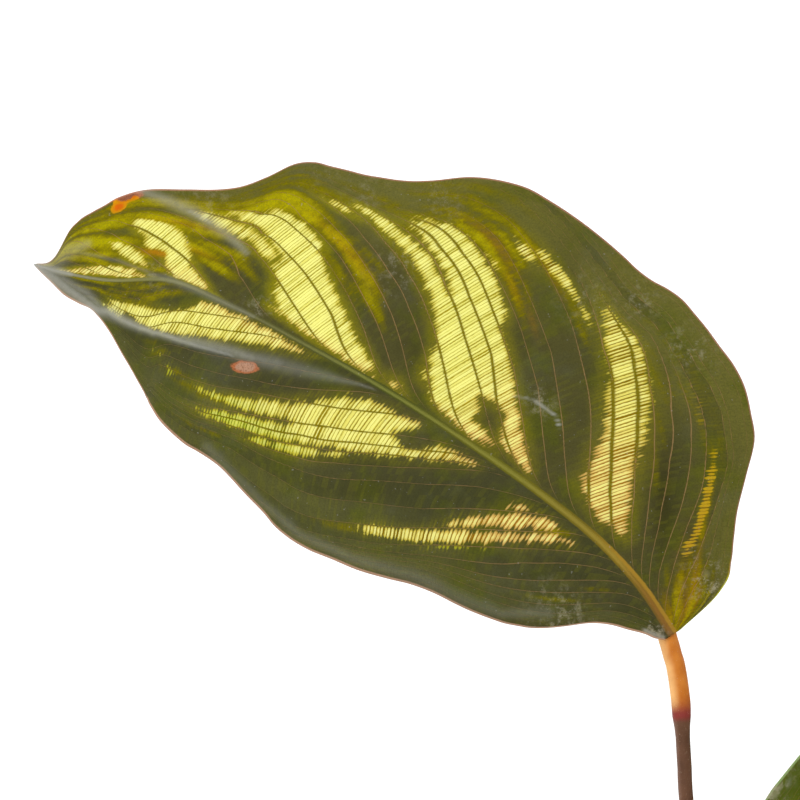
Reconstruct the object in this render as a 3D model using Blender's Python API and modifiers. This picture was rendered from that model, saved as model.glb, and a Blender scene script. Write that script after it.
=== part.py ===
"""Potted calathea: long-stemmed leaves that rise from the soil of a terracotta pot.

Metres, +Z up. The origin is at the centre of the pot's base.
A blade is laid out flat, arched along its length, and placed on the end of its petiole.
"""
import math
from collections import namedtuple

import bmesh
import bpy
import numpy as np
from mathutils import Matrix, Vector

OBJECT_NAME = "potted_calathea"
GAP = 0.0003

# Pot
POT_HEIGHT = 0.130
POT_TOP_RADIUS = 0.075
POT_BASE_RADIUS = 0.0525
POT_WALL = 0.006
POT_FLOOR = 0.008
BAND_HEIGHT = 0.028
BAND_STEP = 0.003
EDGE_ROUND = 0.0012
POT_STEPS = 48
DRAIN_RADIUS = 0.005
DRAIN_RING = 0.028
DRAIN_COUNT = 3
DRAIN_SIDES = 16
# A cutter passes the faces that it cuts by this much
CUTTER_REACH = 0.006

# Soil
SOIL_TOP = POT_HEIGHT - 0.015
SOIL_ROUGHNESS = 0.0016
MOUND_WAVES = (95.0, 110.0)
CRUMB_WAVES = (260.0, 240.0)
SOIL_RINGS = 6
STEM_DEPTH = 0.035
HOLE_CLEARANCE = 0.0004
HOLE_SIDES = 12

# Petioles, as radii
SHEATH_RADIUS = 0.0030
STEM_RADIUS = 0.00165
PULVINUS_RADIUS = 0.0021
PULVINUS_LENGTH = 0.016
PULVINUS_DROP = 0.0023
SHEATH_HEIGHT = 0.070
STRAIGHT_RISE = 0.006
STEM_STEPS = 8
JOINT_STEPS = 4
# How far each end of a petiole holds its direction, as shares of its run
FOOT_HOLD = 0.42
KNEE_HOLD = 0.36
JOINT_HOLDS = (0.5, 0.15)
# How far the joint turns towards the blade before it, for each unit of the stem's lean
JOINT_TURN = 0.45

# Blade, for the full length of midrib
BLADE_LENGTH = 0.170
BLADE_THICKNESS = 0.0007
RIB_DEPTH = 0.0026
RIB_TIP_DEPTH = 0.0010
RIB_HALF_WIDTH = 0.0019
RIB_TAPER = 0.6
RIB_MOST_SHARE = 0.3
FULL_ROWS = 26
PLAIN_ROWS = 17
SIDE_SHARES = (0.40, 0.72, 1.0)
# A row of the blade stands square to the midrib's run over this share each way
ROW_SPAN = 0.04
# The valley between the halves flattens by this share towards the tip
VALLEY_FADE = 0.7
MARGIN_WAVES = 2.6

# The midrib of a full-size blade, laid flat: from the petiole to the tip, x along the chord
MIDRIB = (
    (0.0000, 0.0000), (0.0107, -0.0054), (0.0246, -0.0099), (0.0419, -0.0127),
    (0.0585, -0.0142), (0.0799, -0.0153), (0.1031, -0.0151), (0.1226, -0.0143),
    (0.1365, -0.0125), (0.1503, -0.0050), (0.1648, 0.0000),
)
# Half widths of a full-size blade: share of the midrib, reach square to it
BROAD_HALF = (
    (0.00, 0.0020), (0.01, 0.0108), (0.03, 0.0179), (0.07, 0.0254), (0.10, 0.0331),
    (0.13, 0.0424), (0.16, 0.0469), (0.20, 0.0506), (0.24, 0.0518), (0.28, 0.0536),
    (0.32, 0.0531), (0.40, 0.0544), (0.45, 0.0548), (0.50, 0.0534), (0.55, 0.0492),
    (0.60, 0.0434), (0.65, 0.0393), (0.70, 0.0372), (0.725, 0.0361), (0.75, 0.0318),
    (0.80, 0.0219), (0.83, 0.0202), (0.86, 0.0197), (0.90, 0.0175), (0.93, 0.0148),
    (0.95, 0.0127), (0.97, 0.0086), (0.98, 0.0026), (1.00, 0.0),
)
NARROW_HALF = (
    (0.00, 0.0020), (0.01, 0.0038), (0.03, 0.0060), (0.05, 0.0090), (0.07, 0.0114),
    (0.10, 0.0186), (0.13, 0.0237), (0.16, 0.0268), (0.20, 0.0293), (0.30, 0.0326),
    (0.35, 0.0345), (0.40, 0.0373), (0.50, 0.0399), (0.55, 0.0386), (0.60, 0.0362),
    (0.65, 0.0333), (0.70, 0.0325), (0.75, 0.0297), (0.80, 0.0265), (0.83, 0.0260),
    (0.86, 0.0227), (0.90, 0.0117), (0.93, 0.0066), (0.97, 0.0037), (0.99, 0.0014),
    (1.00, 0.0),
)

# foot: ring radius and angle of the stem in the soil; base: where the blade starts;
# heading, rise and roll turn the blade; bend keeps a share of the midrib's sideways curve;
# first_lift and droop are the arch's angles at the two ends; valley lifts both halves;
# ripple is the height of the margin's waves; lean is how far the stem's top leans out.
Leaf = namedtuple("Leaf", "foot base heading rise roll length bend first_lift droop valley ripple lean")
LEAVES = (
    Leaf((0.010, 190), (-0.055, -0.012, 0.400), 180, 30.1, -90, 0.1712, 1.0, 5, 11, 8, 0.0030, 0.28),
    Leaf((0.010, 100), (-0.0375, 0.038, 0.3285), 0, 36, 65, 0.155, 0.0, 0, 16, 8, 0.0030, 1.2),
    Leaf((0.010, 5), (0.052, 0.004, 0.385), 5, 42, 40, 0.165, 0.6, 0, 38, 9, 0.0035, 1.3),
    Leaf((0.010, 55), (0.045, 0.060, 0.345), 55, 50, 10, 0.165, 0.5, 0, 40, 9, 0.0035, 1.3),
    Leaf((0.0235, 130), (-0.055, 0.070, 0.262), 140, 25, -10, 0.150, 0.5, 0, 45, 9, 0.0035, 1.6),
    Leaf((0.0235, 175), (-0.080, 0.012, 0.285), 176, 20, -20, 0.160, 0.6, 0, 48, 8, 0.0035, 1.6),
    Leaf((0.0235, 220), (-0.062, -0.050, 0.225), 222, 15, 10, 0.155, 0.4, 0, 45, 9, 0.0035, 1.7),
    Leaf((0.0235, 262), (-0.005, -0.075, 0.268), 268, 15, -15, 0.150, 0.5, 0, 50, 9, 0.0035, 1.7),
    Leaf((0.0235, 305), (0.050, -0.058, 0.300), 312, 20, 15, 0.160, 0.5, 0, 50, 8, 0.0035, 1.6),
    Leaf((0.0235, 345), (0.092, -0.018, 0.245), 345, 10, -10, 0.160, 0.5, 0, 45, 9, 0.0035, 1.7),
    Leaf((0.0235, 30), (0.080, 0.050, 0.215), 30, 8, 0, 0.155, 0.4, 0, 45, 9, 0.0035, 1.8),
    Leaf((0.0235, 85), (0.008, 0.085, 0.275), 88, 25, 5, 0.160, 0.5, 0, 48, 8, 0.0035, 1.6),
    Leaf((0.010, 300), (0.034, -0.030, 0.318), 318, 58, -8, 0.150, 0.5, 0, 30, 9, 0.0030, 1.3),
    Leaf((0.0235, 152), (-0.060, 0.028, 0.232), 156, 42, 0, 0.140, 0.5, 0, 40, 9, 0.0030, 1.4),
    Leaf((0.0340, 198), (-0.085, -0.028, 0.175), 198, 5, 8, 0.140, 0.5, 0, 35, 9, 0.0030, 1.9),
    Leaf((0.0340, 285), (0.022, -0.090, 0.178), 285, 5, -5, 0.140, 0.5, 0, 35, 9, 0.0030, 1.9),
)

# The young leaf, still rolled: its stem's foot, where the roll starts, and the roll
YOUNG_FOOT = (0.0, 0)
YOUNG_BASE = (0.006, -0.004, 0.235)
YOUNG_AIM = (0.03, -0.02, 1.0)
YOUNG_STEM_RADIUS = 0.0027
ROLL_LENGTH = 0.105
ROLL_RADIUS = 0.0036
ROLL_TIP_RADIUS = 0.0007

COLOURS = {
    "pot": (0.62, 0.25, 0.13, 1.0),
    "soil": (0.045, 0.028, 0.018, 1.0),
    "blade": (0.09, 0.16, 0.03, 1.0),
    "petiole": (0.16, 0.055, 0.035, 1.0),
    "young_leaf": (0.25, 0.38, 0.09, 1.0),
}
ROUGHNESS = {"pot": 0.85, "soil": 0.95, "blade": 0.42, "petiole": 0.5, "young_leaf": 0.45}


def clear_scene():
    """Removes whatever the file held."""
    for thing in list(bpy.data.objects):
        bpy.data.objects.remove(thing, do_unlink=True)


def new_collection(name):
    """Adds a collection to the scene."""
    collection = bpy.data.collections.new(name)
    bpy.context.scene.collection.children.link(collection)
    return collection


def finish_material(node_name, kind):
    """Makes the node's own material in its kind's colour."""
    material = bpy.data.materials.new(node_name + "_finish")
    material.use_nodes = True
    shader = material.node_tree.nodes["Principled BSDF"]
    shader.inputs["Base Color"].default_value = COLOURS[kind]
    shader.inputs["Roughness"].default_value = ROUGHNESS[kind]
    shader.inputs["Metallic"].default_value = 0.0
    return material


def add_object(name, data, collection, kind):
    """Puts a mesh or a curve in the collection as one sub-part."""
    item = bpy.data.objects.new(name, data)
    data.materials.append(finish_material(name, kind))
    collection.objects.link(item)
    return item


def mesh_from_bmesh(name, shape):
    """Turns a bmesh into a mesh and frees it."""
    mesh = bpy.data.meshes.new(name)
    shape.to_mesh(mesh)
    shape.free()
    return mesh


def turned_mesh(name, profile, steps):
    """Turns a profile of (radius, height) pairs round the Z axis and returns the closed mesh."""
    shape = bmesh.new()
    points = [shape.verts.new((radius, 0.0, height)) for radius, height in profile]
    for first, second in zip(points, points[1:]):
        shape.edges.new((first, second))
    outline = bpy.data.objects.new(name + "_outline", mesh_from_bmesh(name + "_outline", shape))
    bpy.context.scene.collection.objects.link(outline)
    screw = outline.modifiers.new("turn", "SCREW")
    screw.steps = steps
    screw.render_steps = steps
    screw.use_merge_vertices = True
    screw.merge_threshold = 0.00001
    bpy.context.view_layer.update()
    evaluated = outline.evaluated_get(bpy.context.evaluated_depsgraph_get())
    mesh = bpy.data.meshes.new_from_object(evaluated)
    mesh.name = name
    bpy.data.objects.remove(outline, do_unlink=True)
    return mesh


def vertical_cutter(name, radius, bottom, top, centre, sides, collection):
    """Adds an upright round cutter."""
    shape = bmesh.new()
    place = Matrix.Translation((centre[0], centre[1], (bottom + top) / 2))
    bmesh.ops.create_cone(shape, cap_ends=True, segments=sides, radius1=radius, radius2=radius,
                          depth=top - bottom, matrix=place)
    cutter = bpy.data.objects.new(name, mesh_from_bmesh(name, shape))
    cutter.hide_render = True
    cutter.display_type = "WIRE"
    collection.objects.link(cutter)
    return cutter


def cut(target, cutter):
    """Cuts one cutter out of the target with a live Boolean."""
    boolean = target.modifiers.new("cut_" + cutter.name, "BOOLEAN")
    boolean.operation = "DIFFERENCE"
    boolean.object = cutter


def wall_slope():
    """Returns how far the pot's outer wall moves out for each metre of height."""
    below_band = POT_HEIGHT - BAND_HEIGHT
    return (POT_TOP_RADIUS - BAND_STEP - POT_BASE_RADIUS) / below_band


def inner_radius(height):
    """Returns the radius of the pot's inside at a height."""
    outer = POT_BASE_RADIUS + wall_slope() * min(height, POT_HEIGHT - BAND_HEIGHT)
    return outer - POT_WALL


def pot_profile():
    """Lists the pot's outline: up the inside, over the rim and down the outside."""
    band_foot = POT_HEIGHT - BAND_HEIGHT
    neck = POT_TOP_RADIUS - BAND_STEP
    inside_top = inner_radius(POT_HEIGHT)
    return [
        (0.0, POT_FLOOR),
        (inner_radius(POT_FLOOR), POT_FLOOR),
        (inner_radius(band_foot), band_foot),
        (inside_top, POT_HEIGHT - EDGE_ROUND),
        (inside_top + EDGE_ROUND, POT_HEIGHT),
        (POT_TOP_RADIUS - EDGE_ROUND, POT_HEIGHT),
        (POT_TOP_RADIUS, POT_HEIGHT - EDGE_ROUND),
        (POT_TOP_RADIUS - EDGE_ROUND, band_foot + EDGE_ROUND),
        (POT_TOP_RADIUS - 2 * EDGE_ROUND, band_foot),
        (neck, band_foot),
        (POT_BASE_RADIUS, EDGE_ROUND),
        (POT_BASE_RADIUS - EDGE_ROUND, 0.0),
        (0.0, 0.0),
    ]


def add_pot(parts, cutters):
    """Adds the terracotta pot with its drain holes."""
    mesh = turned_mesh("pot", pot_profile(), POT_STEPS)
    pot = add_object("pot", mesh, parts, "pot")
    for index in range(DRAIN_COUNT):
        angle = 2 * math.pi * index / DRAIN_COUNT + math.pi / 6
        centre = (DRAIN_RING * math.cos(angle), DRAIN_RING * math.sin(angle))
        name = "drain_cutter_%d" % (index + 1)
        cutter = vertical_cutter(name, DRAIN_RADIUS, -CUTTER_REACH, POT_FLOOR + CUTTER_REACH,
                                 centre, DRAIN_SIDES, cutters)
        cut(pot, cutter)
    shade(mesh, 35)


def soil_height(x, y):
    """Returns the soil's height at a place: low uneven mounds by a formula."""
    mounds = math.sin(MOUND_WAVES[0] * x + 1.2) * math.cos(MOUND_WAVES[1] * y - 0.4)
    crumbs = math.sin(CRUMB_WAVES[0] * x - 2.0) * math.sin(CRUMB_WAVES[1] * y + 0.9)
    return SOIL_TOP + SOIL_ROUGHNESS * (0.7 * mounds + 0.3 * crumbs)


def add_soil(parts, cutters):
    """Adds the soil, with a plain hole for each stem."""
    floor = POT_FLOOR + GAP
    edge = inner_radius(SOIL_TOP) - GAP
    corner = POT_HEIGHT - BAND_HEIGHT
    surface = [(edge * ring / SOIL_RINGS, SOIL_TOP) for ring in range(SOIL_RINGS, -1, -1)]
    sides = [(0.0, floor), (inner_radius(floor) - GAP, floor), (inner_radius(corner) - GAP, corner)]
    profile = (sides + surface)[::-1]
    mesh = turned_mesh("soil", profile, POT_STEPS // 2)
    for vertex in mesh.vertices:
        if vertex.co.z > SOIL_TOP - GAP:
            vertex.co.z = soil_height(vertex.co.x, vertex.co.y)
    soil = add_object("soil", mesh, parts, "soil")
    hole_radius = (SHEATH_RADIUS + HOLE_CLEARANCE) / math.cos(math.pi / HOLE_SIDES)
    hole_floor = SOIL_TOP - STEM_DEPTH - GAP
    feet = [leaf.foot for leaf in LEAVES] + [YOUNG_FOOT]
    for index, foot in enumerate(feet):
        name = "stem_cutter_%02d" % (index + 1)
        cutter = vertical_cutter(name, hole_radius, hole_floor, SOIL_TOP + CUTTER_REACH,
                                 foot_place(foot), HOLE_SIDES, cutters)
        cut(soil, cutter)


def foot_place(foot):
    """Returns where a stem stands, from its ring radius and angle."""
    radius, angle = foot
    turn = math.radians(angle)
    return (radius * math.cos(turn), radius * math.sin(turn))


def shade(mesh, angle):
    """Shades a mesh smooth, with sharp edges past an angle."""
    mesh.shade_smooth()
    mesh.set_sharp_from_angle(angle=math.radians(angle))


def smooth_through(table, at):
    """Reads a smooth curve through a table of (place, value) pairs."""
    places, values = np.array(table).T
    slopes = np.gradient(values, places)
    left = np.clip(np.searchsorted(places, at, side="right") - 1, 0, len(places) - 2)
    span = places[left + 1] - places[left]
    u = (at - places[left]) / span
    start = (2 * u**3 - 3 * u**2 + 1) * values[left] + (u**3 - 2 * u**2 + u) * span * slopes[left]
    end = (3 * u**2 - 2 * u**3) * values[left + 1] + (u**3 - u**2) * span * slopes[left + 1]
    return start + end


def midrib_at(station, bend):
    """Returns the flat midrib's x and y at each share of its length."""
    points = np.array(MIDRIB)
    steps = np.hypot(*np.diff(points, axis=0).T)
    shares = np.concatenate(([0.0], np.cumsum(steps))) / steps.sum()
    x = smooth_through(np.column_stack((shares, points[:, 0])), station)
    y = smooth_through(np.column_stack((shares, points[:, 1])), station)
    return x, y * bend


def flat_blade(station, reach, bend):
    """Returns the flat place of points: station along the midrib, reach to its left in metres."""
    x, y = midrib_at(station, bend)
    ahead = midrib_at(np.minimum(station + ROW_SPAN, 1.0), bend)
    behind = midrib_at(np.maximum(station - ROW_SPAN, 0.0), bend)
    along_x = ahead[0] - behind[0]
    along_y = ahead[1] - behind[1]
    length = np.hypot(along_x, along_y)
    return x - reach * along_y / length, y + reach * along_x / length


def half_width(station, side):
    """Returns the blade's half width: side +1 is the narrow half, -1 the broad one."""
    narrow = smooth_through(NARROW_HALF, station)
    broad = smooth_through(BROAD_HALF, station)
    return np.maximum(np.where(side > 0, narrow, broad), 0.0)


def surface_lift(leaf, station, share, reach):
    """Returns how far each point stands above the flat blade: the valley and the margin's waves."""
    valley = np.abs(reach) * math.tan(math.radians(leaf.valley)) * (1.0 - VALLEY_FADE * station)
    phase = 2.0 * leaf.heading + 1.3 * share
    waves = np.sin(2 * math.pi * MARGIN_WAVES * station + np.radians(phase) + np.where(share > 0, 1.9, 0.0))
    return valley + leaf.ripple * share**2 * waves * np.sin(math.pi * station) ** 0.5


def arched(leaf, x, y, lift):
    """Bends the flat blade over an arch and returns its points in the blade's own frame."""
    steps = np.linspace(-0.02, 0.19, 400)
    share = np.clip(steps / MIDRIB[-1][0], 0.0, 1.0)
    slope = np.radians(leaf.first_lift - (leaf.first_lift + leaf.droop) * share)
    step = steps[1] - steps[0]
    run = np.cumsum(np.cos(slope)) * step
    rise = np.cumsum(np.sin(slope)) * step
    run -= np.interp(0.0, steps, run)
    rise -= np.interp(0.0, steps, rise)
    angle = np.interp(x, steps, slope)
    along = np.interp(x, steps, run) - lift * np.sin(angle)
    up = np.interp(x, steps, rise) + lift * np.cos(angle)
    return np.column_stack((along, y, up)) * (leaf.length / BLADE_LENGTH)


def blade_points(leaf, station, share):
    """Returns the blade's points for stations 0 to 1 and shares -1 (broad margin) to 1 (narrow margin)."""
    reach = share * half_width(station, share)
    x, y = flat_blade(station, reach, leaf.bend)
    return arched(leaf, x, y, surface_lift(leaf, station, share, reach))


def placement(leaf):
    """Returns the matrix that puts the blade's own frame in its place on the plant."""
    turn = Matrix.Rotation(math.radians(leaf.heading), 4, "Z")
    tilt = Matrix.Rotation(math.radians(-leaf.rise), 4, "Y")
    roll = Matrix.Rotation(math.radians(leaf.roll), 4, "X")
    return Matrix.Translation(leaf.base) @ turn @ tilt @ roll


def blade_grid(rows, columns):
    """Returns a flat grid bmesh with each vertex's row as 0 to 1 and its column number."""
    shape = bmesh.new()
    bmesh.ops.create_grid(shape, x_segments=rows, y_segments=columns, size=0.5)
    places = np.array([vertex.co[:2] for vertex in shape.verts]) + 0.5
    row = np.round(places[:, 0] * rows) / rows
    column = np.round(places[:, 1] * columns).astype(int)
    return shape, row, column


def rib_depth(station):
    """Returns the blade's thickness on its midrib."""
    return RIB_DEPTH + (RIB_TIP_DEPTH - RIB_DEPTH) * station


def add_blade(leaf, name, rows, parts):
    """Adds a waved blade with its midrib standing out below."""
    side = len(SIDE_SHARES) + 1
    shape, row, column = blade_grid(rows, 2 * side)
    station = 0.5 - 0.5 * np.cos(math.pi * row)
    offset = column - side
    sign = np.sign(offset)
    rib_width = RIB_HALF_WIDTH * (1 - RIB_TAPER * station)
    rib_share = np.minimum(rib_width / np.maximum(half_width(station, sign), 0.0001), RIB_MOST_SHARE)
    plain = np.array((0.0, 0.0) + SIDE_SHARES)[np.abs(offset)]
    share = sign * np.where(np.abs(offset) == 1, rib_share, plain)
    for vertex, point in zip(shape.verts, blade_points(leaf, station, share)):
        vertex.co = point
    depth = np.where(offset == 0, rib_depth(station), BLADE_THICKNESS) / RIB_DEPTH
    weights = shape.verts.layers.deform.verify()
    for vertex, weight in zip(shape.verts, depth):
        vertex[weights][0] = float(weight)
    bmesh.ops.remove_doubles(shape, verts=shape.verts, dist=0.0001)
    bmesh.ops.triangulate(shape, faces=shape.faces)
    mesh = mesh_from_bmesh(name, shape)
    blade = add_object(name, mesh, parts, "blade")
    blade.vertex_groups.new(name="depth")
    blade.matrix_world = placement(leaf)
    solid = blade.modifiers.new("thickness", "SOLIDIFY")
    solid.thickness = RIB_DEPTH
    solid.offset = -1
    solid.vertex_group = "depth"
    shade(mesh, 60)


def bezier(start, start_handle, end_handle, end, count):
    """Returns points along a cubic curve, without its first one."""
    points = []
    for index in range(1, count + 1):
        u = index / count
        v = 1 - u
        points.append(start * v**3 + start_handle * 3 * v**2 * u + end_handle * 3 * v * u**2 + end * u**3)
    return points


def stem_path(foot, top, lean, along, drop):
    """Lists a stem's points and radii, from its foot in the soil to the blade it carries."""
    x, y = foot_place(foot)
    root = Vector((x, y, SOIL_TOP - STEM_DEPTH))
    collar = Vector((x, y, SOIL_TOP + STRAIGHT_RISE))
    end = Vector(top) - along * GAP - drop
    reach = end - collar
    aim = Vector((reach.x * lean, reach.y * lean, reach.z)).normalized()
    knee = end - (aim + along * lean * JOINT_TURN).normalized() * PULVINUS_LENGTH
    stretch = (knee - collar).length
    up = Vector((0, 0, 1))
    stem = bezier(collar, collar + up * stretch * FOOT_HOLD, knee - aim * stretch * KNEE_HOLD,
                  knee, STEM_STEPS)
    joint = bezier(knee, knee + aim * PULVINUS_LENGTH * JOINT_HOLDS[0],
                   end - along * PULVINUS_LENGTH * JOINT_HOLDS[1], end, JOINT_STEPS)
    points = [root, collar] + stem + joint
    radii = [SHEATH_RADIUS, SHEATH_RADIUS]
    for point in stem:
        height = min((point.z - collar.z) / SHEATH_HEIGHT, 1.0)
        radii.append(SHEATH_RADIUS + (STEM_RADIUS - SHEATH_RADIUS) * height)
    radii += [PULVINUS_RADIUS] * len(joint)
    return points, radii


def add_tube(name, points, radii, kind, parts):
    """Adds a tube with a radius at each point, as a bevelled curve with closed ends."""
    curve = bpy.data.curves.new(name, "CURVE")
    curve.dimensions = "3D"
    curve.bevel_depth = 1.0
    curve.bevel_resolution = 2
    curve.use_fill_caps = True
    spline = curve.splines.new("POLY")
    spline.points.add(len(points) - 1)
    for slot, point, radius in zip(spline.points, points, radii):
        slot.co = (point.x, point.y, point.z, 1.0)
        slot.radius = radius
    spline.use_smooth = True
    add_object(name, curve, parts, kind)


def add_petiole(leaf, name, parts):
    """Adds the petiole that carries a blade, with its pulvinus at the top."""
    place = placement(leaf)
    start, ahead = blade_points(leaf, np.array([0.0, 0.02]), np.array([0.0, 0.0]))
    along = (place @ Vector(ahead) - place @ Vector(start)).normalized()
    normal = (place.to_3x3() @ Vector((0, 0, 1))).normalized()
    below = (normal - along * normal.dot(along)).normalized() * PULVINUS_DROP
    points, radii = stem_path(leaf.foot, leaf.base, leaf.lean, along, below)
    add_tube(name, points, radii, "petiole", parts)


def add_young_leaf(parts):
    """Adds the rolled young leaf on its own stem."""
    up = Vector(YOUNG_AIM).normalized()
    base = Vector(YOUNG_BASE)
    points, radii = stem_path(YOUNG_FOOT, YOUNG_BASE, 1.0, up, Vector((0, 0, 0)))
    radii = [min(radius, YOUNG_STEM_RADIUS) for radius in radii]
    add_tube("petiole_young", points, radii, "petiole", parts)
    shares = (0.0, 0.12, 0.35, 0.6, 0.85, 1.0)
    roll = [base + up * ROLL_LENGTH * share for share in shares]
    widths = [PULVINUS_RADIUS] + [ROLL_RADIUS + (ROLL_TIP_RADIUS - ROLL_RADIUS) * share**2
                                  for share in shares[1:]]
    add_tube("blade_young", roll, widths, "young_leaf", parts)


def main():
    clear_scene()
    parts = new_collection(OBJECT_NAME)
    cutters = new_collection("cutters")
    add_pot(parts, cutters)
    add_soil(parts, cutters)
    for number, leaf in enumerate(LEAVES, start=1):
        rows = FULL_ROWS if number == 1 else PLAIN_ROWS
        add_blade(leaf, "blade_%02d" % number, rows, parts)
        add_petiole(leaf, "petiole_%02d" % number, parts)
    add_young_leaf(parts)


main()
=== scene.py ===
"""Looks of a potted calathea: fine leaves, petioles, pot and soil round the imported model.

Metres, +Z up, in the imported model's frame. A leaf's surface is worked out from two shares: the
station runs from 0 at the petiole to 1 at the tip, and the share from -1 at the margin of the
broad half to 1 at the margin of the narrow half. The pattern is drawn along the side veins.
"""
import math
import random
from collections import namedtuple
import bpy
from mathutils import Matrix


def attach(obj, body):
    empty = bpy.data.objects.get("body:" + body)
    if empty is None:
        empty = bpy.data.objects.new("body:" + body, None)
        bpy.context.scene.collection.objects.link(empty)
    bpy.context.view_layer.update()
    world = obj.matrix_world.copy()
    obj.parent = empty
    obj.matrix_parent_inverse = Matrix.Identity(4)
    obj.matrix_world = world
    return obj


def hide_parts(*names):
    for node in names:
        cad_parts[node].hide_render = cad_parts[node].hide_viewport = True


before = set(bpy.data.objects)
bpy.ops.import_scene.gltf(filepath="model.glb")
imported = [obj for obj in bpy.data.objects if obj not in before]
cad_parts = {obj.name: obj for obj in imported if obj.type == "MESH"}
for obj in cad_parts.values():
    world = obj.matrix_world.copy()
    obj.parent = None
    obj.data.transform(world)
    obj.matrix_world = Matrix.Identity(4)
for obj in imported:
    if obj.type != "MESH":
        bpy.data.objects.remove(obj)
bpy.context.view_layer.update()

from types import SimpleNamespace

import bmesh
import bpy
import numpy as np
from mathutils import Matrix, Vector, noise

MM = 0.001

# Camera: straight on to the large leaf, which hangs left of its petiole
VIEW_SPAN = 0.180
VIEW_CENTRE = (-0.1162, 0.452875)
LEAF_DEPTH = -0.012
CAMERA_Y = -2.0
SENSOR_WIDTH = 36.0
CLIP_RANGE = (0.1, 60.0)
FLOOR_RADIUS = 6.0
FLOOR_STEPS = 96
WORLD_STRENGTH = 1.30
KEY_POWER = 14.0
KEY_SIZE = 1.2
KEY_PLACE = (-1.3, -1.5, 1.7)
KEY_AIM = (0.0, 0.0, 0.35)

# Pot and soil, as they are built
POT_HEIGHT = 0.130
POT_TOP_RADIUS = 0.075
POT_BASE_RADIUS = 0.0525
POT_WALL = 0.006
POT_FLOOR = 0.008
BAND_HEIGHT = 0.028
BAND_STEP = 0.003
DRAIN_RADIUS = 0.005
DRAIN_RING = 0.028
DRAIN_COUNT = 3
SOIL_TOP = POT_HEIGHT - 0.015
SOIL_DEPTH = 0.020
SOIL_GAP = 0.0003
SOIL_RADIUS = POT_TOP_RADIUS - BAND_STEP - POT_WALL - SOIL_GAP
SOIL_GRID = 110
POT_STEPS = 128
DRAIN_STEPS = 32
# Mounds, crumbs and fine grain of the soil: noise scale per metre, its layer and its height
SOIL_ROUGHNESS = ((38, 0.3, 0.0018), (150, 2.7, 0.0011), (520, 5.1, 0.0006))
# The soil's foot and the loose grains keep to this share of its radius
SOIL_INNER = 0.97
# Loose grains: name, finish, count, least and most size, and height as a share of the width
GRAINS = (
    ("soil_crumbs", "soil", 260, (0.0012, 0.0030), 0.7),
    ("bark_chips", "bark", 60, (0.0022, 0.0048), 0.35),
    ("perlite_grains", "perlite", 70, (0.0010, 0.0021), 0.8),
)

# Petioles, as they are built
STEM_DEPTH = 0.035
SHEATH_RADIUS = 0.0030
STEM_RADIUS = 0.00165
PULVINUS_RADIUS = 0.0021
PULVINUS_LENGTH = 0.016
PULVINUS_DROP = 0.0023
SHEATH_HEIGHT = 0.070
STRAIGHT_RISE = 0.006
FOOT_HOLD = 0.42
KNEE_HOLD = 0.36
JOINT_TURN = 0.45
# What the fine petioles have besides: steps along and round, how far the joint runs on into the
# blade and swells, and the sheath's groove as a share of the radius and a width in radians
END_GAP = 0.0003
STEM_STEPS = 120
JOINT_STEPS = 20
STEM_SIDES = 20
JOINT_HOLDS = (0.5, 0.12)
JOINT_LEAD = 0.0016
JOINT_SWELL = 1.05
SWELL_RANGE = (-0.42, -0.06)
GROOVE_DEPTH = 0.16
GROOVE_WIDTH = 0.35
# The large leaf's petiole sways a little: height and shift to the right
LARGE_PETIOLE_SHIFT = (
    (0.3600, 0.0), (0.3665, 0.00012), (0.3700, 0.00034), (0.3774, 0.00045), (0.3846, 0.00045),
    (0.3900, 0.00015), (0.3936, -0.00010), (0.3954, -0.00045), (0.3990, -0.00080),
)

# Blade
BLADE_LENGTH = 0.170
BLADE_THICKNESS = 0.0006
RIB_DEPTH = 0.0026
RIB_TIP_DEPTH = 0.0010
RIB_SWELL = 0.00030
SKIN_SWELL = 0.00020
VEIN_SWELL = 0.00010
FOLD_RISE = 0.0013
ROW_SPAN = 0.04
VALLEY_FADE = 0.7
MARGIN_WAVES = 2.6
TIP_REACH = 0.0013
ARCH_RANGE = (-0.02, 0.19)
ARCH_STEPS = 400
# How the side veins leave the midrib, run slantwise and turn along the margin
VEIN_HOOK = 0.045
HOOK_WIDTH = 0.03
VEIN_SLANT = 0.27
MARGIN_TURN = 0.23
VEIN_STEP = 0.035
SPARE_VEINS = 12
# Flat measures of the large blade in millimetres, for the marks on it
LENGTH_MM = 170.0
BROAD_MM = 53.0
NARROW_MM = 37.0
SLANT_MM = 46.0
VEIN_GAP_MM = 130.0
FAR_OUTSIDE = -6.0
# The cross lines are numbered by places in the camera's picture: millimetres in a hundred pixels,
# and where the petiole's end stands in hundreds of pixels
ROW_UNIT = 22.4
ROW_ORIGIN = (6.72, 6.35)
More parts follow.
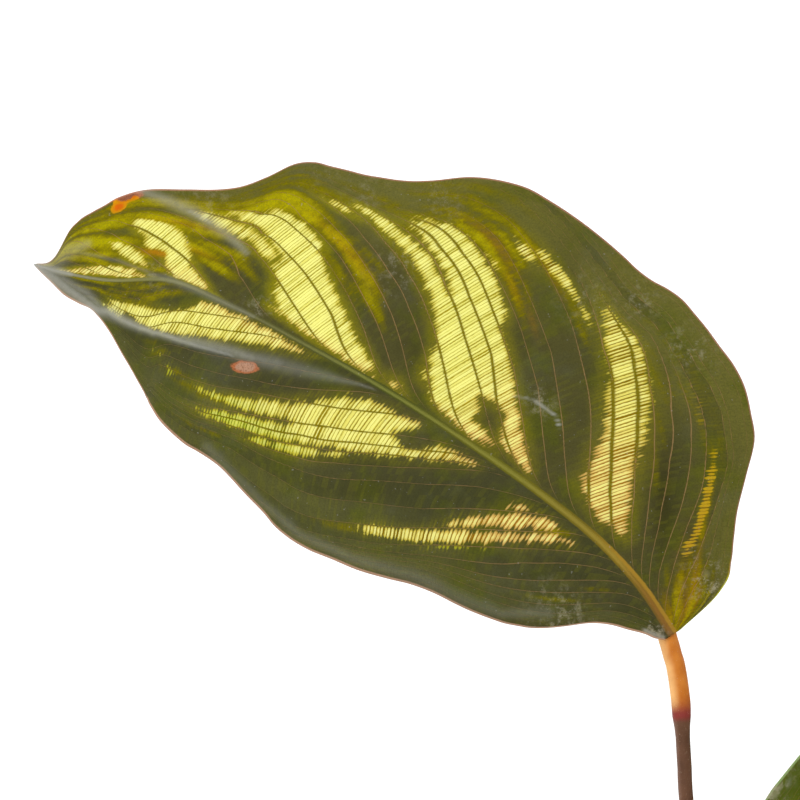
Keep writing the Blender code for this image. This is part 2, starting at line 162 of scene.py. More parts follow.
# The midrib laid flat, x along the chord, then the half widths: share of the midrib and reach
MIDRIB = (
    (0.0000, 0.0000), (0.0107, -0.0054), (0.0246, -0.0099), (0.0419, -0.0127),
    (0.0585, -0.0142), (0.0799, -0.0153), (0.1031, -0.0151), (0.1226, -0.0143),
    (0.1365, -0.0125), (0.1503, -0.0050), (0.1648, 0.0000),
)
BROAD_HALF = (
    (0.00, 0.0020), (0.01, 0.0111), (0.02, 0.0159), (0.04, 0.0199), (0.06, 0.0232),
    (0.08, 0.0274), (0.10, 0.0336), (0.12, 0.0403), (0.14, 0.0439), (0.16, 0.0471),
    (0.18, 0.0491), (0.20, 0.0503), (0.22, 0.0516), (0.24, 0.0526), (0.26, 0.0535),
    (0.28, 0.0535), (0.30, 0.0530), (0.32, 0.0531), (0.34, 0.0537), (0.38, 0.0545),
    (0.42, 0.0549), (0.45, 0.0549), (0.48, 0.0546), (0.50, 0.0536), (0.54, 0.0505),
    (0.58, 0.0456), (0.60, 0.0436), (0.62, 0.0421), (0.64, 0.0409), (0.66, 0.0397),
    (0.68, 0.0388), (0.70, 0.0378), (0.72, 0.0369), (0.74, 0.0345), (0.76, 0.0294),
    (0.78, 0.0249), (0.80, 0.0221), (0.82, 0.0206), (0.86, 0.0197), (0.88, 0.0190),
    (0.90, 0.0181), (0.92, 0.0165), (0.94, 0.0147), (0.96, 0.0119), (0.97, 0.0092),
    (0.98, 0.0032), (1.00, 0.0),
)
NARROW_HALF = (
    (0.00, 0.0020), (0.01, 0.0037), (0.02, 0.0048), (0.04, 0.0078), (0.06, 0.0105),
    (0.08, 0.0138), (0.10, 0.0181), (0.12, 0.0218), (0.14, 0.0245), (0.16, 0.0263),
    (0.18, 0.0278), (0.20, 0.0288), (0.22, 0.0297), (0.24, 0.0305), (0.26, 0.0311),
    (0.30, 0.0321), (0.33, 0.0333), (0.36, 0.0351), (0.40, 0.0372), (0.44, 0.0384),
    (0.48, 0.0395), (0.52, 0.0394), (0.54, 0.0388), (0.56, 0.0376), (0.60, 0.0356),
    (0.62, 0.0344), (0.64, 0.0333), (0.68, 0.0325), (0.70, 0.0324), (0.72, 0.0317),
    (0.75, 0.0301), (0.78, 0.0280), (0.80, 0.0271), (0.82, 0.0270), (0.84, 0.0263),
    (0.86, 0.0234), (0.88, 0.0177), (0.90, 0.0113), (0.92, 0.0072), (0.94, 0.0060),
    (0.96, 0.0048), (0.98, 0.0026), (0.99, 0.0014), (1.00, 0.0),
)
Leaf = namedtuple("Leaf", "foot base heading rise roll length bend first_lift droop valley ripple lean")
LEAVES = (
    Leaf((0.010, 190), (-0.055, -0.012, 0.400), 180, 30.1, -90, 0.1712, 1.0, 5, 11, 8, 0.0030, 0.28),
    Leaf((0.010, 100), (-0.0375, 0.038, 0.3285), 0, 36, 65, 0.155, 0.0, 0, 16, 8, 0.0030, 1.2),
    Leaf((0.010, 5), (0.052, 0.004, 0.385), 5, 42, 40, 0.165, 0.6, 0, 38, 9, 0.0035, 1.3),
    Leaf((0.010, 55), (0.045, 0.060, 0.345), 55, 50, 10, 0.165, 0.5, 0, 40, 9, 0.0035, 1.3),
    Leaf((0.0235, 130), (-0.055, 0.070, 0.262), 140, 25, -10, 0.150, 0.5, 0, 45, 9, 0.0035, 1.6),
    Leaf((0.0235, 175), (-0.080, 0.012, 0.285), 176, 20, -20, 0.160, 0.6, 0, 48, 8, 0.0035, 1.6),
    Leaf((0.0235, 220), (-0.062, -0.050, 0.225), 222, 15, 10, 0.155, 0.4, 0, 45, 9, 0.0035, 1.7),
    Leaf((0.0235, 262), (-0.005, -0.075, 0.268), 268, 15, -15, 0.150, 0.5, 0, 50, 9, 0.0035, 1.7),
    Leaf((0.0235, 305), (0.050, -0.058, 0.300), 312, 20, 15, 0.160, 0.5, 0, 50, 8, 0.0035, 1.6),
    Leaf((0.0235, 345), (0.092, -0.018, 0.245), 345, 10, -10, 0.160, 0.5, 0, 45, 9, 0.0035, 1.7),
    Leaf((0.0235, 30), (0.080, 0.050, 0.215), 30, 8, 0, 0.155, 0.4, 0, 45, 9, 0.0035, 1.8),
    Leaf((0.0235, 85), (0.008, 0.085, 0.275), 88, 25, 5, 0.160, 0.5, 0, 48, 8, 0.0035, 1.6),
    Leaf((0.010, 300), (0.034, -0.030, 0.318), 318, 58, -8, 0.150, 0.5, 0, 30, 9, 0.0030, 1.3),
    Leaf((0.0235, 152), (-0.060, 0.028, 0.232), 156, 42, 0, 0.140, 0.5, 0, 40, 9, 0.0030, 1.4),
    Leaf((0.0340, 198), (-0.085, -0.028, 0.175), 198, 5, 8, 0.140, 0.5, 0, 35, 9, 0.0030, 1.9),
    Leaf((0.0340, 285), (0.022, -0.090, 0.178), 285, 5, -5, 0.140, 0.5, 0, 35, 9, 0.0030, 1.9),
)
YOUNG_BASE = (0.006, -0.004, 0.235)
YOUNG_AIM = (0.03, -0.02, 1.0)
YOUNG_STEM_RADIUS = 0.0027
ROLL_LENGTH = 0.105
ROLL_RADIUS = 0.0036
ROLL_FOOT_RADIUS = 0.0020
ROLL_THICKNESS = 0.00028
ROLL_TURNS = 1.7
ROLL_GRID = (90, 72)

# The fine blades: rows and columns of faces on each half
LARGE_GRID = (280, 74)
OTHER_GRID = (110, 30)

# Where the side veins of the two halves stand: a vein's place at each of these shares
VEIN_SHARES = (0.05, 0.20, 0.35, 0.50, 0.65, 0.80)
BROAD_VEINS = (
    (-0.045, -0.047, -0.053, -0.066, -0.085, -0.110), (-0.030, -0.031, -0.036, -0.048, -0.066, -0.090),
    (-0.004, -0.005, -0.009, -0.015, -0.0275, -0.045), (0.013, 0.018, 0.013, 0.006, -0.006, -0.031),
    (0.034, 0.038, 0.039, 0.032, 0.014, -0.020), (0.052, 0.058, 0.0585, 0.050, 0.035, 0.004),
    (0.072, 0.081, 0.080, 0.0685, 0.050, 0.0145), (0.109, 0.1147, 0.109, 0.097, 0.0795, 0.045),
    (0.1465, 0.144, 0.135, 0.126, 0.1165, 0.1187), (0.177, 0.178, 0.173, 0.1693, 0.183, 0.184),
    (0.208, 0.206, 0.2015, 0.2125, 0.231, 0.235), (0.2335, 0.2335, 0.236, 0.2545, 0.2655, 0.249),
    (0.262, 0.2725, 0.2705, 0.288, 0.2905, 0.266), (0.285, 0.2947, 0.310, 0.3187, 0.3075, 0.283),
    (0.349, 0.3535, 0.3605, 0.3625, 0.350, 0.322), (0.384, 0.380, 0.385, 0.3835, 0.373, 0.350),
    (0.4155, 0.4147, 0.414, 0.4105, 0.405, 0.392), (0.440, 0.441, 0.4425, 0.4412, 0.4455, 0.415),
    (0.4675, 0.464, 0.464, 0.4685, 0.4865, 0.433), (0.5135, 0.5067, 0.5165, 0.5375, 0.506, 0.460),
    (0.556, 0.569, 0.577, 0.5655, 0.545, 0.495), (0.6365, 0.633, 0.607, 0.5905, 0.556, 0.520),
    (0.708, 0.687, 0.668, 0.643, 0.6125, 0.567), (0.755, 0.730, 0.704, 0.6845, 0.652, 0.605),
    (0.780, 0.7725, 0.765, 0.740, 0.700, 0.650),
)
NARROW_VEINS = (
    (0.012, 0.013, 0.010, 0.008, 0.002, -0.010), (0.043, 0.043, 0.040, 0.036, 0.028, 0.012),
    (0.060, 0.0715, 0.0755, 0.0715, 0.056, 0.035), (0.095, 0.100, 0.103, 0.101, 0.090, 0.070),
    (0.1385, 0.1385, 0.1387, 0.1375, 0.140, 0.153), (0.172, 0.178, 0.1835, 0.190, 0.2275, 0.255),
    (0.203, 0.2305, 0.2465, 0.2765, 0.303, 0.310), (0.262, 0.275, 0.293, 0.325, 0.335, 0.335),
    (0.276, 0.296, 0.333, 0.360, 0.3645, 0.360), (0.300, 0.3225, 0.3625, 0.3845, 0.390, 0.390),
    (0.326, 0.364, 0.399, 0.4145, 0.4145, 0.418), (0.397, 0.4285, 0.459, 0.478, 0.505, 0.520),
    (0.460, 0.475, 0.492, 0.530, 0.560, 0.580), (0.492, 0.530, 0.560, 0.585, 0.600, 0.610),
    (0.603, 0.629, 0.655, 0.680, 0.700, 0.720), (0.655, 0.678, 0.700, 0.720, 0.740, 0.760),
    (0.740, 0.760, 0.780, 0.800, 0.820, 0.840),
)

# The pale panels between the dark feathers: strength, then the outline as vein place and share
BROAD_PANELS = (
    (0.84, ((0.010, 0.815), (0.025, 0.794), (0.045, 0.758), (0.057, 0.729), (0.071, 0.684),
           (0.081, 0.644), (0.088, 0.603), (0.095, 0.560), (0.104, 0.513), (0.112, 0.470),
           (0.117, 0.423), (0.120, 0.374), (0.127, 0.324), (0.136, 0.279), (0.142, 0.234),
           (0.147, 0.189), (0.155, 0.162), (0.162, 0.128), (0.147, 0.086), (0.137, 0.068),
           (0.127, 0.070), (0.113, 0.090), (0.100, 0.086), (0.091, 0.099), (0.084, 0.131),
           (0.083, 0.189), (0.082, 0.252), (0.081, 0.315), (0.075, 0.378), (0.065, 0.437),
           (0.056, 0.504), (0.047, 0.558), (0.037, 0.617), (0.028, 0.671), (0.019, 0.720),
           (0.013, 0.752))),
    (0.82, ((0.071, 0.810), (0.087, 0.821), (0.103, 0.819), (0.115, 0.801), (0.117, 0.765),
           (0.111, 0.749), (0.100, 0.743), (0.092, 0.729), (0.088, 0.702), (0.084, 0.684),
           (0.077, 0.698), (0.072, 0.729), (0.071, 0.774))),
    (0.80, ((0.123, 0.806), (0.135, 0.810), (0.148, 0.792), (0.156, 0.770), (0.160, 0.752),
           (0.147, 0.741), (0.135, 0.749), (0.125, 0.756))),
    (0.60, ((-0.060, 0.760), (-0.056, 0.720), (-0.057, 0.705), (-0.061, 0.690), (-0.060, 0.675),
            (-0.054, 0.620), (-0.044, 0.555), (-0.036, 0.480), (-0.018, 0.410), (-0.020, 0.470),
            (-0.026, 0.530), (-0.030, 0.575), (-0.030, 0.630), (-0.032, 0.665), (-0.042, 0.710))),
    (0.30, ((-0.034, 0.760), (-0.051, 0.790), (-0.036, 0.740), (-0.023, 0.710))),
    (1.0, ((0.228, 0.761), (0.240, 0.765), (0.241, 0.798), (0.254, 0.765), (0.260, 0.782),
           (0.267, 0.775), (0.290, 0.715), (0.299, 0.675), (0.305, 0.640), (0.307, 0.600),
           (0.311, 0.545), (0.315, 0.480), (0.319, 0.475), (0.318, 0.520), (0.319, 0.560),
           (0.316, 0.605), (0.313, 0.650), (0.309, 0.685), (0.298, 0.740), (0.288, 0.800),
           (0.288, 0.825), (0.308, 0.805), (0.317, 0.760), (0.331, 0.695), (0.335, 0.655),
           (0.340, 0.590), (0.344, 0.540), (0.347, 0.490), (0.348, 0.430), (0.353, 0.360),
           (0.356, 0.306),
           (0.359, 0.261), (0.367, 0.234), (0.375, 0.198), (0.379, 0.153), (0.381, 0.108),
           (0.388, 0.059), (0.381, 0.050), (0.371, 0.045), (0.360, 0.032), (0.349, 0.023),
           (0.333, 0.027), (0.320, 0.032), (0.307, 0.041), (0.293, 0.054), (0.292, 0.068),
           (0.307, 0.077), (0.317, 0.090), (0.312, 0.108), (0.304, 0.135), (0.299, 0.180),
           (0.291, 0.189), (0.275, 0.194), (0.263, 0.189), (0.263, 0.171), (0.267, 0.135),
           (0.273, 0.099), (0.277, 0.077), (0.267, 0.063), (0.253, 0.045), (0.243, 0.045),
           (0.236, 0.063), (0.235, 0.108), (0.237, 0.180), (0.239, 0.252), (0.239, 0.315),
           (0.240, 0.378), (0.243, 0.432), (0.247, 0.459), (0.239, 0.486), (0.233, 0.522),
           (0.232, 0.567), (0.231, 0.603), (0.235, 0.648), (0.236, 0.693), (0.232, 0.734))),
    (0.8, ((0.213, 0.689), (0.227, 0.698), (0.229, 0.657), (0.228, 0.626), (0.220, 0.639),
           (0.213, 0.662))),
    (0.9, ((0.350, 0.795), (0.329, 0.815), (0.321, 0.805), (0.334, 0.760), (0.343, 0.755),
           (0.354, 0.772))),
    (0.9, ((0.381, 0.167), (0.389, 0.144), (0.393, 0.117), (0.387, 0.108), (0.381, 0.126))),
    (1.0, ((0.452, 0.590), (0.452, 0.620), (0.457, 0.640), (0.461, 0.660), (0.457, 0.690),
           (0.466, 0.680), (0.482, 0.648), (0.471, 0.695), (0.453, 0.745), (0.450, 0.762),
           (0.471, 0.730), (0.478, 0.715), (0.501, 0.655), (0.515, 0.605), (0.521, 0.580),
           (0.529, 0.540), (0.535, 0.495), (0.538, 0.455), (0.537, 0.415), (0.542, 0.375),
           (0.556, 0.345), (0.569, 0.315), (0.572, 0.257), (0.584, 0.212), (0.592, 0.171),
           (0.597, 0.126), (0.599, 0.090), (0.589, 0.065), (0.573, 0.048), (0.555, 0.050),
           (0.544, 0.036), (0.531, 0.027), (0.515, 0.021), (0.499, 0.024), (0.483, 0.041),
           (0.473, 0.059), (0.477, 0.090), (0.481, 0.135), (0.483, 0.198), (0.483, 0.270),
           (0.483, 0.342), (0.480, 0.387), (0.476, 0.432), (0.472, 0.468), (0.465, 0.505),
           (0.458, 0.525), (0.455, 0.555))),
    (0.9, ((0.437, 0.050), (0.453, 0.045), (0.467, 0.032), (0.471, 0.023), (0.456, 0.023),
           (0.443, 0.036))),
    (0.9, ((0.599, 0.120), (0.608, 0.104), (0.616, 0.090), (0.605, 0.076), (0.599, 0.084))),
    (1.0, ((0.575, 0.704), (0.581, 0.608), (0.593, 0.564), (0.605, 0.520), (0.617, 0.472),
           (0.629, 0.428), (0.641, 0.388), (0.653, 0.344), (0.665, 0.296), (0.676, 0.248),
           (0.686, 0.208), (0.695, 0.168), (0.701, 0.128), (0.707, 0.080), (0.719, 0.044),
           (0.734, 0.030), (0.749, 0.030), (0.760, 0.044), (0.752, 0.084), (0.740, 0.128),
           (0.728, 0.168), (0.716, 0.212), (0.707, 0.248), (0.695, 0.288), (0.688, 0.328),
           (0.697, 0.338), (0.692, 0.376), (0.680, 0.420), (0.668, 0.456), (0.656, 0.496),
           (0.641, 0.548), (0.626, 0.596), (0.611, 0.640), (0.596, 0.672))),
    (0.92, ((0.462, 0.785), (0.464, 0.765), (0.476, 0.735), (0.495, 0.685), (0.520, 0.605),
            (0.533, 0.545), (0.540, 0.485), (0.543, 0.425), (0.546, 0.385), (0.568, 0.340),
            (0.573, 0.375), (0.570, 0.410), (0.564, 0.455), (0.559, 0.500), (0.552, 0.550),
            (0.542, 0.600), (0.526, 0.660), (0.508, 0.710), (0.486, 0.760))),
    (1.0, ((0.697, 0.464), (0.701, 0.416), (0.707, 0.368), (0.716, 0.328), (0.724, 0.288),
           (0.734, 0.240), (0.746, 0.192), (0.760, 0.140), (0.763, 0.160), (0.755, 0.240),
           (0.746, 0.304), (0.737, 0.344), (0.728, 0.400), (0.716, 0.456), (0.704, 0.488))),
    (0.95, ((0.785, 0.120), (0.788, 0.160), (0.796, 0.180), (0.809, 0.184), (0.824, 0.168),
            (0.845, 0.144), (0.866, 0.112), (0.890, 0.076), (0.920, 0.044), (0.947, 0.028),
            (0.920, 0.026), (0.890, 0.040), (0.860, 0.062), (0.842, 0.054), (0.833, 0.030),
            (0.818, 0.024), (0.800, 0.056), (0.790, 0.084))),
)
NARROW_PANELS = (
    (0.84, ((0.121, 0.135), (0.131, 0.135), (0.136, 0.180), (0.138, 0.252), (0.1385, 0.360),
           (0.1385, 0.432), (0.136, 0.504), (0.135, 0.558), (0.136, 0.612), (0.141, 0.657),
           (0.149, 0.711), (0.149, 0.747), (0.139, 0.765), (0.123, 0.781), (0.109, 0.783),
           (0.099, 0.756), (0.089, 0.725), (0.093, 0.675), (0.097, 0.612), (0.100, 0.558),
           (0.104, 0.504), (0.109, 0.432), (0.113, 0.360), (0.115, 0.288), (0.114, 0.216),
           (0.113, 0.171))),
    (0.6, ((0.099, 0.531), (0.096, 0.612), (0.091, 0.666), (0.080, 0.711), (0.067, 0.729),
           (0.080, 0.666), (0.088, 0.585))),
    (0.84, ((0.141, 0.135), (0.149, 0.113), (0.160, 0.104), (0.171, 0.104), (0.175, 0.153),
           (0.1765, 0.207), (0.177, 0.261), (0.175, 0.315), (0.169, 0.378), (0.163, 0.441),
           (0.156, 0.504), (0.149, 0.549), (0.141, 0.572), (0.1405, 0.504), (0.141, 0.405),
           (0.141, 0.315), (0.141, 0.225))),
    (0.85, ((0.179, 0.135), (0.192, 0.131), (0.200, 0.149), (0.193, 0.198), (0.187, 0.234),
            (0.182, 0.252), (0.179, 0.207), (0.178, 0.162))),
    (0.90, ((0.276, 0.099), (0.287, 0.086), (0.301, 0.086), (0.317, 0.090), (0.327, 0.108),
           (0.328, 0.162), (0.324, 0.194), (0.336, 0.225), (0.347, 0.207), (0.363, 0.198),
           (0.368, 0.180), (0.368, 0.135), (0.371, 0.081), (0.383, 0.059), (0.398, 0.068),
           (0.4055, 0.090), (0.413, 0.077), (0.428, 0.068), (0.440, 0.077), (0.449, 0.108),
           (0.4565, 0.144), (0.461, 0.198), (0.4565, 0.261), (0.4535, 0.297), (0.455, 0.360),
           (0.455, 0.423), (0.4565, 0.486), (0.4595, 0.540), (0.470, 0.585), (0.482, 0.621),
           (0.479, 0.644), (0.464, 0.648), (0.446, 0.635), (0.431, 0.617), (0.4205, 0.594),
           (0.4205, 0.540), (0.416, 0.468), (0.410, 0.468), (0.4085, 0.540), (0.410, 0.612),
           (0.410, 0.666), (0.410, 0.720), (0.404, 0.747), (0.386, 0.756), (0.368, 0.761),
           (0.356, 0.752), (0.359, 0.720), (0.365, 0.666), (0.367, 0.612), (0.365, 0.540),
           (0.361, 0.486), (0.355, 0.450), (0.347, 0.410), (0.340, 0.396), (0.333, 0.369),
           (0.323, 0.329), (0.309, 0.288), (0.301, 0.243), (0.292, 0.198), (0.283, 0.144))),
    (0.9, ((0.341, 0.410), (0.339, 0.504), (0.338, 0.576), (0.339, 0.630), (0.339, 0.684),
           (0.332, 0.738), (0.347, 0.720), (0.357, 0.684), (0.362, 0.630), (0.364, 0.558),
           (0.359, 0.504), (0.352, 0.468), (0.347, 0.432))),
    (0.8, ((0.4535, 0.104), (0.4625, 0.099), (0.466, 0.122), (0.461, 0.140), (0.4565, 0.126))),
    (0.92, ((0.557, 0.054), (0.566, 0.090), (0.577, 0.135), (0.587, 0.180), (0.596, 0.216),
           (0.601, 0.261), (0.608, 0.315), (0.611, 0.360), (0.613, 0.414), (0.617, 0.437),
           (0.635, 0.432), (0.656, 0.428), (0.674, 0.432), (0.686, 0.428), (0.704, 0.405),
           (0.676, 0.500), (0.652, 0.600), (0.672, 0.590), (0.700, 0.480), (0.734, 0.385),
           (0.740, 0.325), (0.742, 0.270),
           (0.725, 0.252), (0.707, 0.244), (0.686, 0.234), (0.682, 0.216), (0.686, 0.171),
           (0.692, 0.126), (0.701, 0.081), (0.707, 0.050), (0.695, 0.036), (0.674, 0.034),
           (0.644, 0.032), (0.605, 0.032), (0.578, 0.036))),
    (0.72, ((0.540, 0.642), (0.560, 0.626), (0.590, 0.612), (0.600, 0.580), (0.575, 0.586),
            (0.556, 0.600))),
    (0.66, ((0.478, 0.704), (0.496, 0.684), (0.516, 0.666), (0.524, 0.640), (0.504, 0.644),
            (0.490, 0.662))),
)

# Soft yellow-olive places, as vein place, share, their two half sizes and strength
BROAD_GLOW = (
    (0.732, 0.535, 0.050, 0.15, 1.5), (0.620, 0.710, 0.045, 0.08, 1.3), (0.549, 0.735, 0.030, 0.08, 1.0),
    (0.575, 0.580, 0.030, 0.08, 1.0), (0.604, 0.385, 0.014, 0.10, 0.9), (0.765, 0.340, 0.030, 0.06, 0.9),
    (0.727, 0.280, 0.020, 0.06, 0.7), (0.394, 0.790, 0.022, 0.06, 1.1), (0.412, 0.745, 0.024, 0.07, 1.4),
    (0.430, 0.685, 0.022, 0.07, 1.5), (0.421, 0.610, 0.016, 0.08, 1.3), (0.423, 0.475, 0.013, 0.10, 1.1),
    (0.435, 0.340, 0.010, 0.10, 0.7), (0.320, 0.850, 0.040, 0.05, 0.55), (0.119, 0.815, 0.018, 0.05, 0.8),
    (0.105, 0.780, 0.015, 0.06, 0.6), (0.097, 0.730, 0.012, 0.06, 0.5), (0.104, 0.655, 0.010, 0.05, 0.4),
    (0.139, 0.850, 0.020, 0.04, 0.6), (0.185, 0.680, 0.012, 0.10, 0.4), (-0.042, 0.835, 0.010, 0.05, 0.2),
    (0.001, 0.720, 0.010, 0.08, 0.2), (0.037, 0.555, 0.006, 0.05, 0.3), (0.052, 0.420, 0.007, 0.08, 0.3),
    (-0.025, 0.740, 0.008, 0.05, 0.3), (-0.033, 0.710, 0.008, 0.06, 0.2), (-0.050, 0.700, 0.010, 0.06, 0.4),
    (-0.058, 0.650, 0.012, 0.09, 0.4), (-0.045, 0.480, 0.012, 0.10, 0.4), (-0.031, 0.325, 0.012, 0.12, 0.7),
    (-0.075, 0.440, 0.024, 0.12, 1.0), (-0.103, 0.610, 0.024, 0.10, 0.5), (-0.270, 0.970, 0.022, 0.06, 0.9),
    (-0.045, 0.230, 0.020, 0.12, 0.7), (-0.020, 0.100, 0.025, 0.08, 0.6), (-0.136, 0.695, 0.020, 0.08, 0.7),
    (0.286, 0.705, 0.012, 0.06, 0.5), (0.247, 0.800, 0.015, 0.05, 0.6), (0.224, 0.870, 0.015, 0.04, 0.4),
    (0.412, 0.880, 0.045, 0.07, 0.9), (0.446, 0.830, 0.040, 0.07, 0.9), (0.330, 0.905, 0.040, 0.05, 0.35),
    (0.207, 0.960, 0.024, 0.04, 0.3), (0.275, 0.910, 0.020, 0.03, 0.5), (0.649, 0.240, 0.014, 0.08, 0.9),
    (0.215, 0.725, 0.012, 0.08, 1.3), (0.207, 0.620, 0.010, 0.10, 0.7), (0.120, 0.905, 0.030, 0.04, 0.5),
    (0.190, 0.820, 0.014, 0.05, 0.6), (0.459, 0.420, 0.012, 0.12, 0.5), (0.350, 0.535, 0.008, 0.10, 0.4),
    (0.594, 0.605, 0.022, 0.10, 1.1), (0.634, 0.410, 0.016, 0.10, 1.1), (0.018, 0.690, 0.008, 0.05, 0.35),
    (0.560, 0.880, 0.090, 0.08, 0.30), (0.214, 0.900, 0.030, 0.05, 0.3), (0.556, 0.680, 0.020, 0.08, 1.5),
    (0.515, 0.855, 0.040, 0.06, 0.6), (0.723, 0.575, 0.040, 0.12, 1.5), (0.167, 0.765, 0.012, 0.06, 0.9),
    (0.765, 0.125, 0.030, 0.05, 0.7), (0.614, 0.270, 0.012, 0.08, 0.6), (-0.030, 0.250, 0.012, 0.10, 1.1),
    (-0.075, 0.570, 0.014, 0.08, 0.5), (0.590, 0.740, 0.030, 0.06, 1.4), (0.455, 0.720, 0.028, 0.06, 1.5),
    (0.392, 0.560, 0.010, 0.10, 0.4), (0.705, 0.490, 0.030, 0.07, 1.8), (0.802, 0.260, 0.020, 0.10, 0.9),
    (0.785, 0.460, 0.030, 0.10, 1.2), (0.825, 0.330, 0.020, 0.12, 0.9), (0.045, 0.950, 0.040, 0.05, 0.35),
    (-0.065, 0.800, 0.030, 0.08, 0.22), (0.000, 0.240, 0.010, 0.06, 0.35),
)
NARROW_GLOW = (
    (0.569, 0.595, 0.016, 0.05, 0.4), (0.504, 0.645, 0.016, 0.06, 0.30), (0.472, 0.655, 0.014, 0.06, 0.3),
    (0.452, 0.585, 0.015, 0.07, 0.6), (0.619, 0.545, 0.016, 0.05, 0.25), (0.298, 0.855, 0.020, 0.04, 0.3),
    (0.130, 0.800, 0.030, 0.05, 0.3), (-0.017, 0.640, 0.010, 0.10, 0.3), (0.018, 0.365, 0.010, 0.10, 0.25),
    (0.744, 0.250, 0.020, 0.10, 0.4), (0.718, 0.305, 0.020, 0.06, 0.8), (0.670, 0.350, 0.020, 0.06, 0.5),
    (0.768, 0.300, 0.026, 0.12, 0.5), (0.745, 0.130, 0.020, 0.08, 0.6), (0.780, 0.160, 0.030, 0.06, 0.4),
    (0.139, 0.160, 0.010, 0.08, 0.5), (0.850, 0.080, 0.060, 0.08, 0.5), (0.790, 0.070, 0.030, 0.07, 0.4),
)
# Orange-brown places of the broad half, written the same way
BROAD_EMBER = (
    (0.700, 0.293, 0.016, 0.045, 1.5), (0.640, 0.360, 0.010, 0.060, 0.5), (0.560, 0.640, 0.016, 0.060, 0.5),
    (0.420, 0.560, 0.010, 0.120, 0.5), (0.112, 0.760, 0.006, 0.060, 0.4),
    (-0.064, 0.500, 0.012, 0.130, 0.6), (-0.058, 0.320, 0.022, 0.150, 0.55),
    (-0.088, 0.540, 0.010, 0.060, 0.6),
    (0.193, 0.745, 0.010, 0.060, 0.6), (0.205, 0.625, 0.007, 0.050, 0.5), (0.189, 0.555, 0.006, 0.040, 0.4),
    (-0.045, 0.330, 0.030, 0.160, 0.35), (-0.015, 0.120, 0.020, 0.070, 0.45),
)
# Darker places of each half, written the same way
BROAD_DEEP = (
    (0.036, 0.380, 0.018, 0.140, 1.3), (0.396, 0.185, 0.020, 0.080, 0.5), (0.038, 0.520, 0.010, 0.120, 0.5),
)
NARROW_DEEP = (
    (0.255, 0.560, 0.030, 0.120, 0.6), (-0.190, 0.970, 0.070, 0.090, 0.7),
    (-0.002, 0.630, 0.012, 0.080, 0.3),
)
# Painted grey sheen, painted highlights where the blade folds over and by the tip, with a few real pale
# marks among them: station, share and half width in millimetres along a line
# The first four lines are folds, which also stand up a little
FOLD_COUNT = 4
PAINTED_SHEEN_AND_MARK_LINES = (
    (0.34, ((0.515, 0.032, 0.2), (0.535, 0.050, 0.4), (0.560, 0.085, 0.8), (0.580, 0.110, 1.2),
            (0.626, 0.180, 1.6), (0.650, 0.217, 1.6))),
    (0.47, ((0.640, 0.200, 1.5), (0.660, 0.232, 1.5), (0.676, 0.256, 1.3))),
    (0.60, ((0.676, 0.258, 1.2), (0.706, 0.290, 1.4), (0.730, 0.325, 1.4), (0.758, 0.372, 1.2),
            (0.782, 0.425, 0.9))),
    (0.92, ((0.700, 0.308, 0.3), (0.721, 0.335, 0.5), (0.741, 0.365, 0.6), (0.761, 0.400, 0.7),
            (0.779, 0.432, 0.8), (0.806, 0.455, 0.8), (0.835, 0.456, 0.8), (0.860, 0.468, 0.9),
            (0.880, 0.525, 1.0), (0.899, 0.635, 1.2), (0.912, 0.830, 1.3))),
    (0.95, ((0.912, 0.850, 1.0), (0.935, 0.800, 1.1), (0.960, 0.650, 1.2), (1.000, 0.000, 1.6))),
    (0.22, ((0.672, 0.940, 1.2), (0.571, 0.960, 0.9), (0.500, 0.950, 0.9), (0.417, 0.950, 1.1),
            (0.331, 0.940, 1.6), (0.254, 0.945, 1.6), (0.194, 0.930, 1.3), (0.136, 0.800, 1.3))),
    (0.55, ((0.900, 0.700, 0.9), (0.930, 0.550, 1.0), (0.965, 0.350, 1.0))),
    (0.60, ((0.861, -1.000, 0.8), (0.841, -0.905, 1.0), (0.820, -0.800, 1.2), (0.790, -0.635, 1.2),
            (0.764, -0.470, 1.0), (0.745, -0.360, 0.6))),
    (0.95, ((0.816, -0.770, 0.4), (0.803, -0.700, 0.6), (0.794, -0.655, 0.4))),
    (0.80, ((0.955, 0.000, 0.5), (0.975, 0.000, 1.3), (1.000, 0.000, 2.8))),
    (0.35, ((0.940, -0.500, 1.0), (0.965, -0.450, 1.8), (0.985, -0.300, 2.2))),
    (0.30, ((0.700, 0.000, 0.4), (0.760, 0.010, 0.8), (0.800, 0.010, 0.9), (0.850, -0.050, 0.6))),
    (0.24, ((0.850, -0.080, 0.4), (0.866, -0.135, 0.4), (0.891, -0.240, 0.4), (0.924, -0.315, 0.4),
            (0.949, -0.375, 0.5), (0.970, -0.395, 0.6), (0.990, -0.300, 0.8))),
    (0.85, ((0.004, 0.700, 0.35), (0.014, 0.800, 0.45), (0.026, 0.820, 0.35))),
    # The last line is a real pale scratch
    (1.10, ((0.360, -0.262, 0.10), (0.336, -0.297, 0.18), (0.309, -0.305, 0.20), (0.293, -0.290, 0.22),
            (0.287, -0.262, 0.14))),
)
# Dusty smudges, partly real dust and partly painted grey sheen: station, share, radius in millimetres and
# strength
DUST_AND_SHEEN_SPOTS = (
    (0.325, -0.310, 3.0, 0.7), (0.035, -0.690, 4.4, 1.15), (0.121, 0.790, 6.0, 0.7),
    (0.559, -0.885, 4.0, 0.5), (0.565, -0.530, 5.0, 0.55), (0.016, 0.670, 2.2, 1.4),
    (0.155, 0.675, 5.0, 0.45), (0.350, -0.760, 6.0, 0.35), (0.301, -0.900, 4.0, 0.6),
    (0.221, -0.890, 4.0, 0.7), (0.043, -0.665, 2.4, 2.1), (0.840, -0.060, 3.0, 0.5),
    (0.700, -0.060, 3.0, 0.6), (0.803, -0.940, 4.5, 0.35), (0.655, -0.900, 5.0, 0.30),
    (0.700, -0.930, 4.0, 0.2),
)
